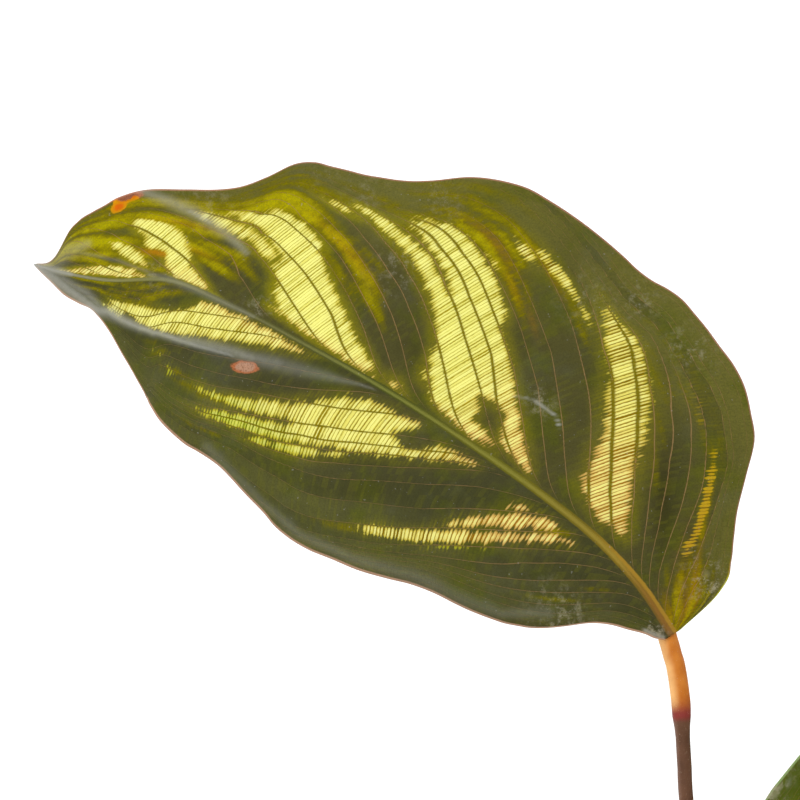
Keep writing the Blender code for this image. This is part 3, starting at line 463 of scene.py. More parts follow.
# The second leaf's light vein and its dusty edge with painted grey sheen, written like the painted sheen
# lines and the dust and sheen spots
EDGE_LINE = (
    (0.40, ((0.184, 0.820, 0.2), (0.196, 0.880, 0.25), (0.210, 0.920, 0.25), (0.240, 0.945, 0.25))),
)
EDGE_DUST_AND_SHEEN = ((0.178, 0.97, 3.0, 3.0), (0.192, 0.96, 2.0, 3.0), (0.220, 0.98, 2.4, 1.2))
# The share of the light that goes through a blade's face, the rest is thrown back
THROUGH = 0.6
# The panels' brightest colours, then the midrib's core and sides by station, as screen colours
PANE = (0.86, 0.83, 0.24, 1.0)
WARM_PANE = (0.86, 0.66, 0.24, 1.0)
PANE_CORE = (1.0, 0.99, 0.42, 1.0)
RIB_CORE = (
    (0.00, (146, 100, 46)), (0.05, (146, 102, 42)), (0.08, (154, 116, 44)), (0.12, (176, 144, 52)),
    (0.30, (150, 144, 54)), (0.50, (134, 138, 58)), (0.72, (116, 114, 72)), (0.88, (146, 143, 86)),
    (1.00, (172, 169, 160)),
)
RIB_SIDE = (
    (0.00, (112, 84, 40)), (0.12, (124, 102, 30)), (0.30, (102, 98, 26)), (0.50, (70, 76, 28)),
    (0.72, (86, 86, 44)), (0.88, (118, 118, 60)), (1.00, (120, 120, 110)),
)
# Burnt spots: station, share, the two half sizes in millimetres and the turn in degrees
SCARS = (
    (0.679, 0.338, 3.5, 1.40, 22.0), (0.880, -0.965, 3.8, 1.2, 12.0), (0.894, -0.885, 2.4, 1.2, 16.0),
)
# The burnt margin's orange places, written like the dust and sheen spots
SINGES = ((0.902, -0.900, 1.9, 1.6), (0.893, -0.875, 1.5, 1.4), (0.884, -0.880, 1.2, 1.2),
          (0.876, -0.892, 1.0, 1.1), (0.868, -0.905, 1.1, 1.2))


def smooth_through(table, at):
    """Reads a smooth curve through a table of (place, value) pairs."""
    places, values = np.array(table).T
    slopes = np.gradient(values, places)
    left = np.clip(np.searchsorted(places, at, side="right") - 1, 0, len(places) - 2)
    span = places[left + 1] - places[left]
    u = (at - places[left]) / span
    start = (2 * u**3 - 3 * u**2 + 1) * values[left] + (u**3 - 2 * u**2 + u) * span * slopes[left]
    end = (3 * u**2 - 2 * u**3) * values[left + 1] + (u**3 - u**2) * span * slopes[left + 1]
    return start + end


def ease(value, low, high):
    """Rises smoothly from 0 at low to 1 at high."""
    share = np.clip((value - low) / (high - low), 0.0, 1.0)
    return share * share * (3 - 2 * share)


def midrib_at(station, bend):
    """Returns the flat midrib's x and y at each share of its length."""
    points = np.array(MIDRIB)
    steps = np.hypot(*np.diff(points, axis=0).T)
    shares = np.concatenate(([0.0], np.cumsum(steps))) / steps.sum()
    x = smooth_through(np.column_stack((shares, points[:, 0])), station)
    y = smooth_through(np.column_stack((shares, points[:, 1])), station)
    return x, y * bend


def flat_blade(station, reach, bend):
    """Returns the flat place of points: station along the midrib, reach to its left in metres."""
    x, y = midrib_at(station, bend)
    ahead = midrib_at(np.minimum(station + ROW_SPAN, 1.0), bend)
    behind = midrib_at(np.maximum(station - ROW_SPAN, 0.0), bend)
    along_x = ahead[0] - behind[0]
    along_y = ahead[1] - behind[1]
    length = np.hypot(along_x, along_y)
    return x - reach * along_y / length, y + reach * along_x / length


def half_width(station, side):
    """Returns the blade's half width: side +1 is the narrow half, -1 the broad one."""
    narrow = smooth_through(NARROW_HALF, station)
    broad = smooth_through(BROAD_HALF, station)
    return np.maximum(np.where(side > 0, narrow, broad), 0.0)


def surface_lift(leaf, station, share, reach):
    """Returns how far each point stands above the flat blade: the valley and the margin's waves."""
    valley = np.abs(reach) * math.tan(math.radians(leaf.valley)) * (1.0 - VALLEY_FADE * station)
    phase = 2.0 * leaf.heading + 1.3 * share
    waves = np.sin(2 * math.pi * MARGIN_WAVES * station + np.radians(phase) + np.where(share > 0, 1.9, 0.0))
    return valley + leaf.ripple * share**2 * waves * np.sin(math.pi * station) ** 0.5


def arched(leaf, x, y, lift):
    """Bends the flat blade over an arch and returns its points in the blade's own frame."""
    steps = np.linspace(*ARCH_RANGE, ARCH_STEPS)
    share = np.clip(steps / MIDRIB[-1][0], 0.0, 1.0)
    slope = np.radians(leaf.first_lift - (leaf.first_lift + leaf.droop) * share)
    step = steps[1] - steps[0]
    run = np.cumsum(np.cos(slope)) * step
    rise = np.cumsum(np.sin(slope)) * step
    run -= np.interp(0.0, steps, run)
    rise -= np.interp(0.0, steps, rise)
    angle = np.interp(x, steps, slope)
    along = np.interp(x, steps, run) - lift * np.sin(angle)
    up = np.interp(x, steps, rise) + lift * np.cos(angle)
    return np.column_stack((along, y, up)) * (leaf.length / BLADE_LENGTH)


def blade_points(leaf, station, share, relief=0.0):
    """Returns the blade's points, with a fine relief in metres added to its lift."""
    reach = share * half_width(station, share)
    x, y = flat_blade(station, reach, leaf.bend)
    return arched(leaf, x, y, surface_lift(leaf, station, share, reach) + relief)


def placement(leaf):
    """Returns the matrix that puts the blade's own frame in its place on the plant."""
    turn = Matrix.Rotation(math.radians(leaf.heading), 4, "Z")
    tilt = Matrix.Rotation(math.radians(-leaf.rise), 4, "Y")
    roll = Matrix.Rotation(math.radians(leaf.roll), 4, "X")
    return Matrix.Translation(leaf.base) @ turn @ tilt @ roll


def vein_sweep(station):
    """Returns how strongly the side veins sweep towards the tip at a station."""
    return 0.55 + 0.45 * ease(station, 0.0, 0.40) + 0.12 * np.clip((station - 0.5) / 0.3, 0.0, 1.0)


def vein_place(station, share):
    """Returns the station where the side vein through each point leaves the midrib."""
    across = np.abs(share)
    hook = 1 - np.exp(-across / HOOK_WIDTH)
    slant = VEIN_HOOK * hook + VEIN_SLANT * across + MARGIN_TURN * across**6
    return station - vein_sweep(station) * slant


def vein_count(place, share, table):
    """Counts the side veins up to each point, and gives the gap there in vein places."""
    across = np.clip(np.abs(share), VEIN_SHARES[0], VEIN_SHARES[-1])
    lines = np.array([np.interp(across, VEIN_SHARES, row) for row in table])
    before = lines[0] - VEIN_STEP * np.arange(SPARE_VEINS, 0, -1)[:, None]
    after = lines[-1] + VEIN_STEP * np.arange(1, SPARE_VEINS + 1)[:, None]
    lines = np.vstack((before, lines, after))
    below = np.clip((lines <= place).sum(axis=0) - 1, 0, len(lines) - 2)
    column = np.arange(len(place))
    low = lines[below, column]
    gap = lines[below + 1, column] - low
    return below + (place - low) / gap, gap


def outline_distance(outline, x, y):
    """Returns how deep each point lies inside a closed outline, below 0 outside it."""
    corners = np.array(outline)
    nearest = np.full(len(x), 1e9)
    inside = np.zeros(len(x), bool)
    for first, second in zip(corners, np.roll(corners, -1, axis=0)):
        side = second - first
        share = ((x - first[0]) * side[0] + (y - first[1]) * side[1]) / max(side @ side, 1e-12)
        share = np.clip(share, 0.0, 1.0)
        gap = (x - first[0] - share * side[0]) ** 2 + (y - first[1] - share * side[1]) ** 2
        nearest = np.minimum(nearest, gap)
        crossing = (first[1] > y) != (second[1] > y)
        level = first[0] + (y - first[1]) * side[0] / (side[1] if side[1] else 1e-12)
        inside ^= crossing & (x < level)
    return np.where(inside, 1.0, -1.0) * np.sqrt(nearest)


def skewed(place, share, half):
    """Lays vein places and shares out in millimetres, close to their flat shape."""
    return LENGTH_MM * place + SLANT_MM * share, half * share


def panel_field(place, share, panels, half):
    """Returns the depth inside the nearest pale panel in millimetres, and its strength."""
    x, y = skewed(place, share, half)
    depth = np.full(len(x), -12.0)
    strength = np.zeros(len(x))
    for level, outline in panels:
        corners = [skewed(a, b, half) for a, b in outline]
        found = outline_distance(corners, x, y)
        strength = np.where(found > depth, level, strength)
        depth = np.maximum(depth, found)
    return depth, strength


def spread(station, share):
    """Lays stations and shares out in millimetres along the midrib and across it."""
    return station * LENGTH_MM, share * half_width(station, share) / MM


def spread_point(station, share):
    """Lays one given point out in millimetres."""
    x, y = spread(np.array([station]), np.array([share]))
    return float(x[0]), float(y[0])


def line_field(lines, station, share):
    """Returns soft stripes along lines of (station, share, half width in millimetres)."""
    x, y = spread(station, share)
    field = np.zeros(len(x))
    for strength, points in lines:
        ends = np.array([(*spread_point(s, t), width) for s, t, width in points])
        for first, second in zip(ends, ends[1:]):
            side = second[:2] - first[:2]
            along = ((x - first[0]) * side[0] + (y - first[1]) * side[1]) / (side @ side)
            along = np.clip(along, 0.0, 1.0)
            away = np.hypot(x - first[0] - along * side[0], y - first[1] - along * side[1])
            width = first[2] + (second[2] - first[2]) * along
            field = np.maximum(field, strength * np.exp(-(away / width) ** 2))
    return field


def spot_field(spots, station, share):
    """Returns soft round spots of (station, share, radius in millimetres, strength)."""
    x, y = spread(station, share)
    field = np.zeros(len(x))
    for s, t, radius, strength in spots:
        centre = spread_point(s, t)
        away = np.hypot(x - centre[0], y - centre[1]) / radius
        field = np.maximum(field, strength * np.exp(-away**2))
    return field


def scar_field(scars, station, share):
    """Returns the depth inside the nearest burnt spot in millimetres."""
    x, y = spread(station, share)
    field = np.full(len(x), FAR_OUTSIDE)
    for s, t, length, width, turn in scars:
        centre = spread_point(s, t)
        angle = math.radians(turn)
        along = (x - centre[0]) * math.cos(angle) + (y - centre[1]) * math.sin(angle)
        across = (y - centre[1]) * math.cos(angle) - (x - centre[0]) * math.sin(angle)
        field = np.maximum(field, (1 - np.hypot(along / length, across / width)) * width)
    return field


def glow_field(place, share, spots):
    """Returns the soft yellow-olive places of one half."""
    field = np.zeros(len(place))
    for v, t, v_half, t_half, strength in spots:
        away = ((place - v) / v_half) ** 2 + ((share - t) / t_half) ** 2
        field = np.maximum(field, strength * np.exp(-away))
    return field


def cross_rows(station, share, broad, swap, shift):
    """Numbers the fine cross lines, which fan over each half of the blade."""
    x, y = flat_blade(station, share * half_width(station, share), 1.0)
    x, y = x / MM - LENGTH_MM * shift, y / MM * (-1.0 if swap else 1.0)
    turn = math.radians(LEAVES[0].rise)
    right = ROW_ORIGIN[0] - (x * math.cos(turn) + y * math.sin(turn)) / ROW_UNIT
    down = ROW_ORIGIN[1] - (x * math.sin(turn) - y * math.cos(turn)) / ROW_UNIT
    broad_rows = 23.5 * right - 0.0145 * right**4 + 29.0 * down
    narrow_rows = 22.3 * right - 3.35 * right**2 + 6.0 * right * down + 45.6 * down - 6.0 * down**2
    return np.where(broad, broad_rows, narrow_rows)


def pattern_fields(station, share, swap, stretch, shift):
    """Returns the named values that the blade's finish reads at each point."""
    across = np.abs(share)
    place = vein_place(station, share)
    broad = (share < 0) != swap
    drift = (place - shift) / stretch + 0.010 * math.sin(40 * shift) * np.sin(9 * across)
    halves = ((broad, BROAD_PANELS, BROAD_VEINS, BROAD_GLOW, BROAD_EMBER, BROAD_DEEP, BROAD_MM),
              (~broad, NARROW_PANELS, NARROW_VEINS, NARROW_GLOW, (), NARROW_DEEP, NARROW_MM))
    fields = {name: np.zeros(len(station))
              for name in ("panel", "strength", "vein", "gap", "glow", "ember", "deep")}
    for chosen, panels, veins, glows, embers, deeps, half in halves:
        v, t = drift[chosen], across[chosen]
        fields["panel"][chosen], fields["strength"][chosen] = panel_field(v, t, panels, half)
        count, gap = vein_count(v, t, veins)
        fields["vein"][chosen] = count
        fields["gap"][chosen] = gap * VEIN_GAP_MM
        for name, spots in (("glow", glows), ("ember", embers), ("deep", deeps)):
            fields[name][chosen] = glow_field(v, t, spots)
    fields["rows"] = cross_rows(station, share, broad, swap, shift)
    fields["narrow"] = np.where(broad, 0.0, 1.0)
    fields["crowd"] = ease(across, 0.76, 0.86) * np.where(broad, 1.0, 0.0)
    fields["crowd"] *= np.maximum(ease(drift, -0.06, 0.0), ease(drift, -0.10, -0.16))
    fields["lime"] = np.where(broad, 0.0, ease(drift, 0.24, 0.32)) * ease(across, 0.40, 0.70)
    return fields


def finished_mesh(name, shape, smooth=True):
    """Turns a shape into a mesh, with smooth faces unless told otherwise."""
    mesh = bpy.data.meshes.new(name)
    shape.to_mesh(mesh)
    shape.free()
    if smooth:
        mesh.shade_smooth()
    return mesh


def new_object(name, data):
    """Puts a mesh, light or camera into the scene."""
    item = bpy.data.objects.new(name, data)
    bpy.context.scene.collection.objects.link(item)
    return item


def blade_mesh(name, grid):
    """Makes a flat grid and returns it with each vertex's row and column shares."""
    rows, columns = grid
    shape = bmesh.new()
    bmesh.ops.create_grid(shape, x_segments=rows, y_segments=2 * columns, size=0.5)
    mesh = finished_mesh(name, shape)
    flat = np.empty(len(mesh.vertices) * 3)
    mesh.vertices.foreach_get("co", flat)
    flat = flat.reshape(-1, 3)
    row = np.round((flat[:, 0] + 0.5) * rows) / rows
    column = np.round(flat[:, 1] * 2 * columns) / columns
    return mesh, row, column


def store(mesh, name, values):
    """Keeps one number for each vertex."""
    layer = mesh.attributes.new(name, "FLOAT", "POINT")
    layer.data.foreach_set("value", np.asarray(values, np.float32))


def weld(mesh, distance):
    """Joins vertices that lie on each other."""
    shape = bmesh.new()
    shape.from_mesh(mesh)
    bmesh.ops.remove_doubles(shape, verts=shape.verts, dist=distance)
    bmesh.ops.dissolve_degenerate(shape, edges=shape.edges, dist=distance * 0.1)
    shape.to_mesh(mesh)
    shape.free()


def ground_marks(number, station, share, chance):
    """Returns the marks that lie on a blade: painted sheen with pale marks, dust partly painted as sheen,
    burnt spots and its own tone.
    """
    if number == 1:
        return {"sheen": line_field(PAINTED_SHEEN_AND_MARK_LINES, station, share), "dust": spot_field(DUST_AND_SHEEN_SPOTS, station, share),
                "scar": scar_field(SCARS, station, share), "singe": spot_field(SINGES, station, share),
                "tone": np.zeros(len(station)), "green_rim": np.zeros(len(station))}
    spots = [(chance.uniform(0.05, 0.9), chance.uniform(-0.9, 0.9), chance.uniform(3, 7),
              chance.uniform(0.3, 0.8)) for _ in range(4)]
    # Painted grey sheen, a painted highlight at the tip of each other blade
    sheen = 0.4 * np.exp(-((1 - station) / 0.05) ** 2)
    corner = number == 2
    if corner:
        spots += EDGE_DUST_AND_SHEEN
        sheen += line_field(EDGE_LINE, station, share)
    return {"sheen": sheen, "dust": spot_field(spots, station, share),
            "scar": np.full(len(station), FAR_OUTSIDE), "singe": np.zeros(len(station)),
            "tone": np.full(len(station), chance.uniform(-0.5, 0.5)),
            "green_rim": np.full(len(station), 1.0 if corner else 0.0)}


def blade_relief(large, fields, reach, width, rib):
    """Returns how far the skin swells between the side veins and over the midrib and the folds."""
    station, share = fields["station"], fields["share"]
    between = 0.5 - 0.5 * np.cos(2 * math.pi * fields["vein"])
    calm = ease(reach, 1.0, 6.0) * ease(width - reach, 0.5, 5.0)
    relief = SKIN_SWELL * between * calm * ease(fields["gap"], 1.0, 4.0)
    relief += RIB_SWELL * np.exp(-(reach / rib) ** 2) * (1 - station)
    if large:
        relief += FOLD_RISE * line_field(PAINTED_SHEEN_AND_MARK_LINES[:FOLD_COUNT], station, share)
    return relief, calm


def blade_depth(fields, reach, width, rib, calm):
    """Returns the blade's thickness at each point, as a share of the midrib's at the base."""
    rib_depth = RIB_DEPTH + (RIB_TIP_DEPTH - RIB_DEPTH) * fields["station"]
    thin = BLADE_THICKNESS * (0.55 + 0.45 * ease(width - reach, 0.0, 2.0))
    depth = thin + (rib_depth - BLADE_THICKNESS) * np.exp(-(reach / (rib * 0.9)) ** 2)
    away = np.abs(fields["vein"] - np.round(fields["vein"])) * fields["gap"]
    depth += VEIN_SWELL * np.exp(-(away / 0.5) ** 2) * calm
    return depth / RIB_DEPTH


def thicken(blade):
    """Gives the sheet its thickness, from the share that each vertex keeps."""
    mesh = blade.data
    group = blade.vertex_groups.new(name="depth")
    shares = np.empty(len(mesh.vertices), np.float32)
    mesh.attributes["depth_share"].data.foreach_get("value", shares)
    for index, weight in enumerate(shares.tolist()):
        group.add((index,), min(weight, 1.0), "REPLACE")
    mesh.attributes.remove(mesh.attributes["depth_share"])
    solid = blade.modifiers.new("thickness", "SOLIDIFY")
    solid.thickness = RIB_DEPTH
    solid.offset = -1
    solid.vertex_group = "depth"
    solid.material_offset = 1
    solid.material_offset_rim = 0


def blade_piece(number, leaf, chance):
    """Makes one fine blade in place of its plain solid."""
    large = number == 1
    name = "calathea_blade_%02d" % number
    mesh, row, column = blade_mesh(name, LARGE_GRID if large else OTHER_GRID)
    station = 0.45 * row + 0.55 * (0.5 - 0.5 * np.cos(math.pi * row))
    share = np.sign(column) * (0.62 * np.abs(column) + 0.38 * column**2)
    swap, stretch, shift = False, 1.0, 0.0
    if not large:
        swap = number % 2 == 0
        stretch = chance.uniform(0.90, 1.12)
        shift = chance.uniform(-0.045, 0.045)
    width = half_width(station, share) / MM
    reach = np.abs(share) * width
    rib = 1.12 - 0.82 * station
    fields = pattern_fields(station, share, swap, stretch, shift)
    fields.update(station=station, share=share, reach=reach, rim=width - reach, rib=reach / rib)
    relief, calm = blade_relief(large, fields, reach, width, rib)
    points = blade_points(leaf, station, share, relief)
    if large:
        points[:, 0] += TIP_REACH * ease(station, 0.965, 1.0) ** 2
    matrix = np.array(placement(leaf))
    points = points @ matrix[:3, :3].T + matrix[:3, 3]
    mesh.vertices.foreach_set("co", points.astype(np.float32).ravel())
    fields.update(ground_marks(number, station, share, chance))
    fields["depth_share"] = blade_depth(fields, reach, width, rib, calm)
    for key, values in fields.items():
        store(mesh, key, values)
    weld(mesh, 0.00002)
    blade = new_object(name, mesh)
    thicken(blade)
    mesh.materials.append(FINISHES["blade_face"])
    mesh.materials.append(FINISHES["blade_back"])
    settle(blade, "blade_%02d" % number)


def settle(piece, node):
    """Ties a piece to the body and hides the plain part that it stands for."""
    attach(piece, "root")
    if node:
        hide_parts(node)


class Value:
    """A number in a material's nodes, which can be added, scaled and compared."""

    def __init__(self, finish, socket):
        self.finish = finish
        self.socket = socket

    def combine(self, operation, *others):
        """Adds a Math node for this number and others."""
        inputs = dict(enumerate((self,) + others))
        return self.finish.number("ShaderNodeMath", {"operation": operation}, inputs)

    def __add__(self, other):
        return self.combine("ADD", other)

    __radd__ = __add__

    def __sub__(self, other):
        return self.combine("SUBTRACT", other)

    def __rsub__(self, other):
        return (self * -1.0) + other

    def __mul__(self, other):
        return self.combine("MULTIPLY", other)

    __rmul__ = __mul__

    def __abs__(self):
        return self.combine("ABSOLUTE")


class Finish:
    """One material while its nodes are put together."""

    def __init__(self, name):
        self.material = bpy.data.materials.new(name)
        self.material.use_nodes = True
        self.tree = self.material.node_tree
        self.tree.nodes.clear()

    def node(self, kind, settings=None, inputs=None):
        """Adds a node with its settings, then the values or links of its sockets."""
        node = self.tree.nodes.new(kind)
        for key, value in (settings or {}).items():
            if key == "stops":
                for element, (place, colour) in zip(self.stops(node, len(value)), value):
                    element.position = place
                    element.color = colour
            else:
                setattr(node, key, value)
        for key, value in (inputs or {}).items():
            socket = node.inputs[key]
            if isinstance(value, Value):
                self.tree.links.new(value.socket, socket)
            elif isinstance(value, bpy.types.NodeSocket):
                self.tree.links.new(value, socket)
            else:
                socket.default_value = value
        return node

    def stops(self, node, count):
        """Gives a ramp as many stops as it needs."""
        elements = node.color_ramp.elements
        while len(elements) < count:
            elements.new(1.0)
        return elements

    def number(self, kind, settings=None, inputs=None, output=0):
        """Adds a node and returns its output as a number."""
        return Value(self, self.node(kind, settings, inputs).outputs[output])

    def field(self, name):
        """Reads one of the mesh's own values."""
        return self.number("ShaderNodeAttribute", {"attribute_name": name}, None, "Fac")

    def step(self, value, low, high, start=0.0, end=1.0):
        """Rises smoothly from start to end between low and high."""
        inputs = {"Value": value, "From Min": low, "From Max": high, "To Min": start, "To Max": end}
        return self.number("ShaderNodeMapRange", {"interpolation_type": "SMOOTHSTEP"}, inputs)

    def noise(self, scale, detail, roughness):
        """Adds a noise of a scale per metre, centred on 0.5."""
        place = self.node("ShaderNodeTexCoord").outputs["Object"]
        inputs = {"Vector": place, "Scale": scale, "Detail": detail, "Roughness": roughness}
        return self.number("ShaderNodeTexNoise", None, inputs, "Fac")

    def draw(self, place):
        """Adds a random number from 0 to 1 for each place on a line."""
        settings = {"noise_dimensions": "1D"}
        return self.number("ShaderNodeTexWhiteNoise", settings, {"W": place}, "Value")

    def wander(self, place, detail, roughness=0.5):
        """Adds a noise along a line, centred on 0.5."""
        inputs = {"W": place, "Detail": detail, "Roughness": roughness}
        return self.number("ShaderNodeTexNoise", {"noise_dimensions": "1D"}, inputs, "Fac")

    def mix(self, share, first, second):
        """Mixes two colours."""
        inputs = {0: share, 6: first, 7: second}
        return self.node("ShaderNodeMix", {"data_type": "RGBA"}, inputs).outputs[2]

    def lay(self, colour, *layers):
        """Lays tints over a colour one after another, each by its own share."""
        for share, over in layers:
            colour = self.mix(share, colour, over)
        return colour

    def ramp(self, value, stops):
        """Reads a blade's tint from a ramp of places and screen colours."""
        stops = [(place, lit_tint(*shade)) for place, shade in stops]
        return self.node("ShaderNodeValToRGB", {"stops": stops}, {"Fac": value}).outputs["Color"]

    def bump(self, height, distance, strength):
        """Turns a height from 0 to 1 into a normal, over a distance in metres."""
        inputs = {"Height": height, "Distance": distance, "Strength": strength}
        return self.node("ShaderNodeBump", None, inputs).outputs["Normal"]

    def skin(self, colour, roughness, highlight, normal=None):
        """Adds a plain surface and returns its shader."""
        inputs = {"Base Color": colour, "Roughness": roughness, "Specular IOR Level": highlight}
        if normal is not None:
            inputs["Normal"] = normal
        return self.node("ShaderNodeBsdfPrincipled", None, inputs).outputs[0]

    def close_leaf(self, skin, colour):
        """Lets a share of the light through a blade's skin and returns the material."""
        through = self.node("ShaderNodeBsdfTranslucent", None, {"Color": colour}).outputs[0]
        both = self.node("ShaderNodeMixShader", None, {0: THROUGH, 1: skin, 2: through})
        return self.close(both.outputs[0])

    def close(self, shader):
        """Joins the shader to the output and returns the material."""
        output = self.node("ShaderNodeOutputMaterial")
        self.tree.links.new(shader, output.inputs["Surface"])
        return self.material


def tint(red, green, blue):
    """Turns a screen colour of 0 to 255 into a linear one."""
    parts = [value / 255 for value in (red, green, blue)]
    linear = [part / 12.92 if part < 0.04045 else ((part + 0.055) / 1.055) ** 2.4 for part in parts]
    return (*linear, 1.0)


def lit_tint(red, green, blue):
    """Finds the colour of both faces of a blade that looks like a screen colour against the light."""
    found = []
    for part in tint(red, green, blue)[:3]:
        seen = part / (0.96 * WORLD_STRENGTH)
        low, high = 0.0, 1.0
        for _ in range(24):
            middle = (low + high) / 2
            back = (1 - THROUGH) * middle
            shown = back + (THROUGH * middle) ** 2 / (1 - back)
            if shown < seen:
                low = middle
            else:
                high = middle
        found.append(middle)
    return (*found, 1.0)


def row_marks(finish):
    """Works out the fine cross lines, and the values and noises that a blade's colours share."""
    names = ("station", "reach", "panel", "strength", "narrow", "vein", "gap", "crowd", "green_rim")
    marks = SimpleNamespace(**{name: finish.field(name) for name in names})
    marks.mottle = finish.noise(900.0, 3.0, 0.6)
    marks.speck = finish.noise(3000.0, 2.0, 0.6)
    marks.patch = finish.noise(42.0, 3.0, 0.55)
    marks.strip = finish.draw(marks.vein.combine("FLOOR"))
    rows = finish.field("rows") + marks.strip * 0.8 + marks.mottle * 0.35
    rows = rows + finish.wander(rows * 0.42 + marks.strip * 9.0, 1.0) * 0.7
    row = rows.combine("FLOOR")
    marks.chance = finish.draw(row + marks.strip * 50.0)
    marks.away = abs(rows - rows.combine("ROUND"))
    block = finish.node("ShaderNodeCombineXYZ", None, {
        "X": (marks.vein * 2.0).combine("FLOOR"), "Y": row}).outputs[0]
    cell = finish.number("ShaderNodeTexWhiteNoise", {"noise_dimensions": "2D"}, {"Vector": block}, "Value")
    marks.cell = cell * (1.0 - marks.crowd) + marks.crowd * 0.5
    marks.level = finish.step(marks.strength, 0.80, 1.0)
    ridge = marks.away + (marks.mottle - 0.5) * 0.14 + (marks.chance - 0.5) * 0.12
    marks.ridge = ridge + marks.level * 0.06
    marks.lit = finish.step(marks.ridge, 0.08, 0.24)
    return marks


def panel_colour(finish, marks):
    """Mixes the pale panels' colour, and works out where they open between the feathers."""
    edge = marks.panel + (marks.chance - 0.5) * 0.9 + (marks.cell - 0.5) * 0.5
    edge = edge + (marks.away - 0.25) * 2.0 + (marks.mottle - 0.5) * 0.6
    edge = edge - (1.0 - marks.level) * 0.45
    marks.opened = finish.step(edge, -0.20, 0.40) * finish.step(marks.strength, 0.0, 0.85)
    warm = finish.step(marks.station, 0.46, 0.26) * finish.step(marks.reach, 30.0, 8.0)
    warm = (warm + finish.step(marks.reach, 5.0, 1.5) * 0.5).combine("MINIMUM", 0.85)
    green = finish.field("lime") * finish.step(marks.patch, 0.35, 0.60, 0.7, 1.0)
    fringe = finish.step(edge, 1.3, 0.0) * 0.75
    fringe_tint = finish.mix(warm, lit_tint(214, 186, 44), lit_tint(236, 160, 78))
    bright = finish.lay(
        finish.mix(marks.level, lit_tint(252, 232, 90), PANE),
        (warm, WARM_PANE), (green, lit_tint(206, 214, 44)), (fringe, fringe_tint))
    line = finish.lay(
        finish.mix(marks.level, lit_tint(112, 88, 0), lit_tint(146, 132, 0)),
        (warm, lit_tint(146, 92, 4)), (green, lit_tint(84, 100, 8)))
    weak = finish.step(marks.strength, 0.78, 0.60)
    weak_tint = finish.mix(marks.narrow, lit_tint(232, 172, 8), lit_tint(186, 190, 30))
    core = finish.step(marks.ridge, 0.16, 0.38) * finish.step(edge, 0.4, 1.4)
    core = core * finish.step(marks.chance, 0.0, 0.6, 0.45, 1.0) * (1.0 - green * 0.6) * (1.0 - weak)
    return finish.lay(
        finish.mix(marks.lit, line, bright),
        (weak * marks.lit * 0.90, weak_tint), (core * 0.95, PANE_CORE))


def ground_colour(finish, marks):
    """Mixes the colour between the panels: dark feathers, olive clouds and soft yellow places."""
    narrow, mottle, cell = marks.narrow, marks.mottle, marks.cell
    olive = finish.step(abs(finish.field("share")) + (marks.patch - 0.5) * 0.7, 0.40, 0.95)
    inner = finish.mix(narrow, lit_tint(80, 77, 40), lit_tint(70, 69, 40))
    outer = finish.mix(narrow, lit_tint(106, 103, 44), lit_tint(92, 92, 46))
    dim = finish.step(marks.strip + (finish.noise(75.0, 4.0, 0.6) - 0.5) * 1.6, 0.25, 0.95)
    dim = dim * finish.step(marks.gap, 2.0, 4.0) * (1.0 - marks.crowd)
    leafy = finish.step(finish.noise(95.0, 4.0, 0.6), 0.48, 0.68)
    # Bluish-grey haze: partly dust, partly painted sheen
    dust_and_sheen_haze = finish.step(finish.noise(60.0, 5.0, 0.65), 0.50, 0.70)
    halo = finish.step(marks.panel, -3.4, -0.3) * finish.step(marks.strength, 0.60, 0.95)
    halo = halo * finish.step(marks.station, 0.35, 0.75, 0.40, 0.85)
    halo = halo * finish.step(mottle, 0.25, 0.60, 0.6, 1.0) * (1.0 - narrow * 0.65)
    ghost = finish.step(marks.panel, -2.4, -0.2) * 0.42 + 0.04
    ghost = ghost * finish.step(marks.away + (mottle - 0.5) * 0.3, 0.10, 0.40)
    ghost = ghost * finish.step(marks.patch, 0.40, 0.62)
    glow = finish.field("glow") * finish.step(marks.away + (mottle - 0.5) * 0.5, -0.15, 0.35, 0.75, 1.0)
    glow = glow * finish.step(finish.noise(280.0, 5.0, 0.7), 0.32, 0.60, 0.65, 1.15)
    glow = glow * (cell * 0.5 + 0.8)
    return finish.lay(
        finish.mix(olive, inner, outer),
        (dim * 0.50, lit_tint(62, 64, 32)),
        (leafy * 0.55, lit_tint(84, 92, 10)),
        (dust_and_sheen_haze * 0.35, lit_tint(92, 95, 72)),
        (finish.field("deep") * 0.6, lit_tint(52, 48, 22)),
        (halo, lit_tint(150, 142, 4)),
        (ghost * (cell * 1.2 + 0.1), lit_tint(146, 136, 18)),
        (finish.step(cell, 0.55, 1.0) * 0.22, lit_tint(112, 112, 28)),
        (finish.step(glow, 0.05, 0.45), lit_tint(116, 108, 0)),
        (finish.step(glow, 0.25, 0.85), lit_tint(162, 150, 0)),
        (finish.step(glow, 0.75, 1.35) * 0.9, lit_tint(192, 182, 0)),
        (finish.field("ember") * 0.8, lit_tint(186, 124, 8)),
        (marks.green_rim * 0.75, lit_tint(84, 102, 20)),
        (finish.step(marks.speck, 0.35, 0.75) * 0.35, lit_tint(48, 50, 22)))


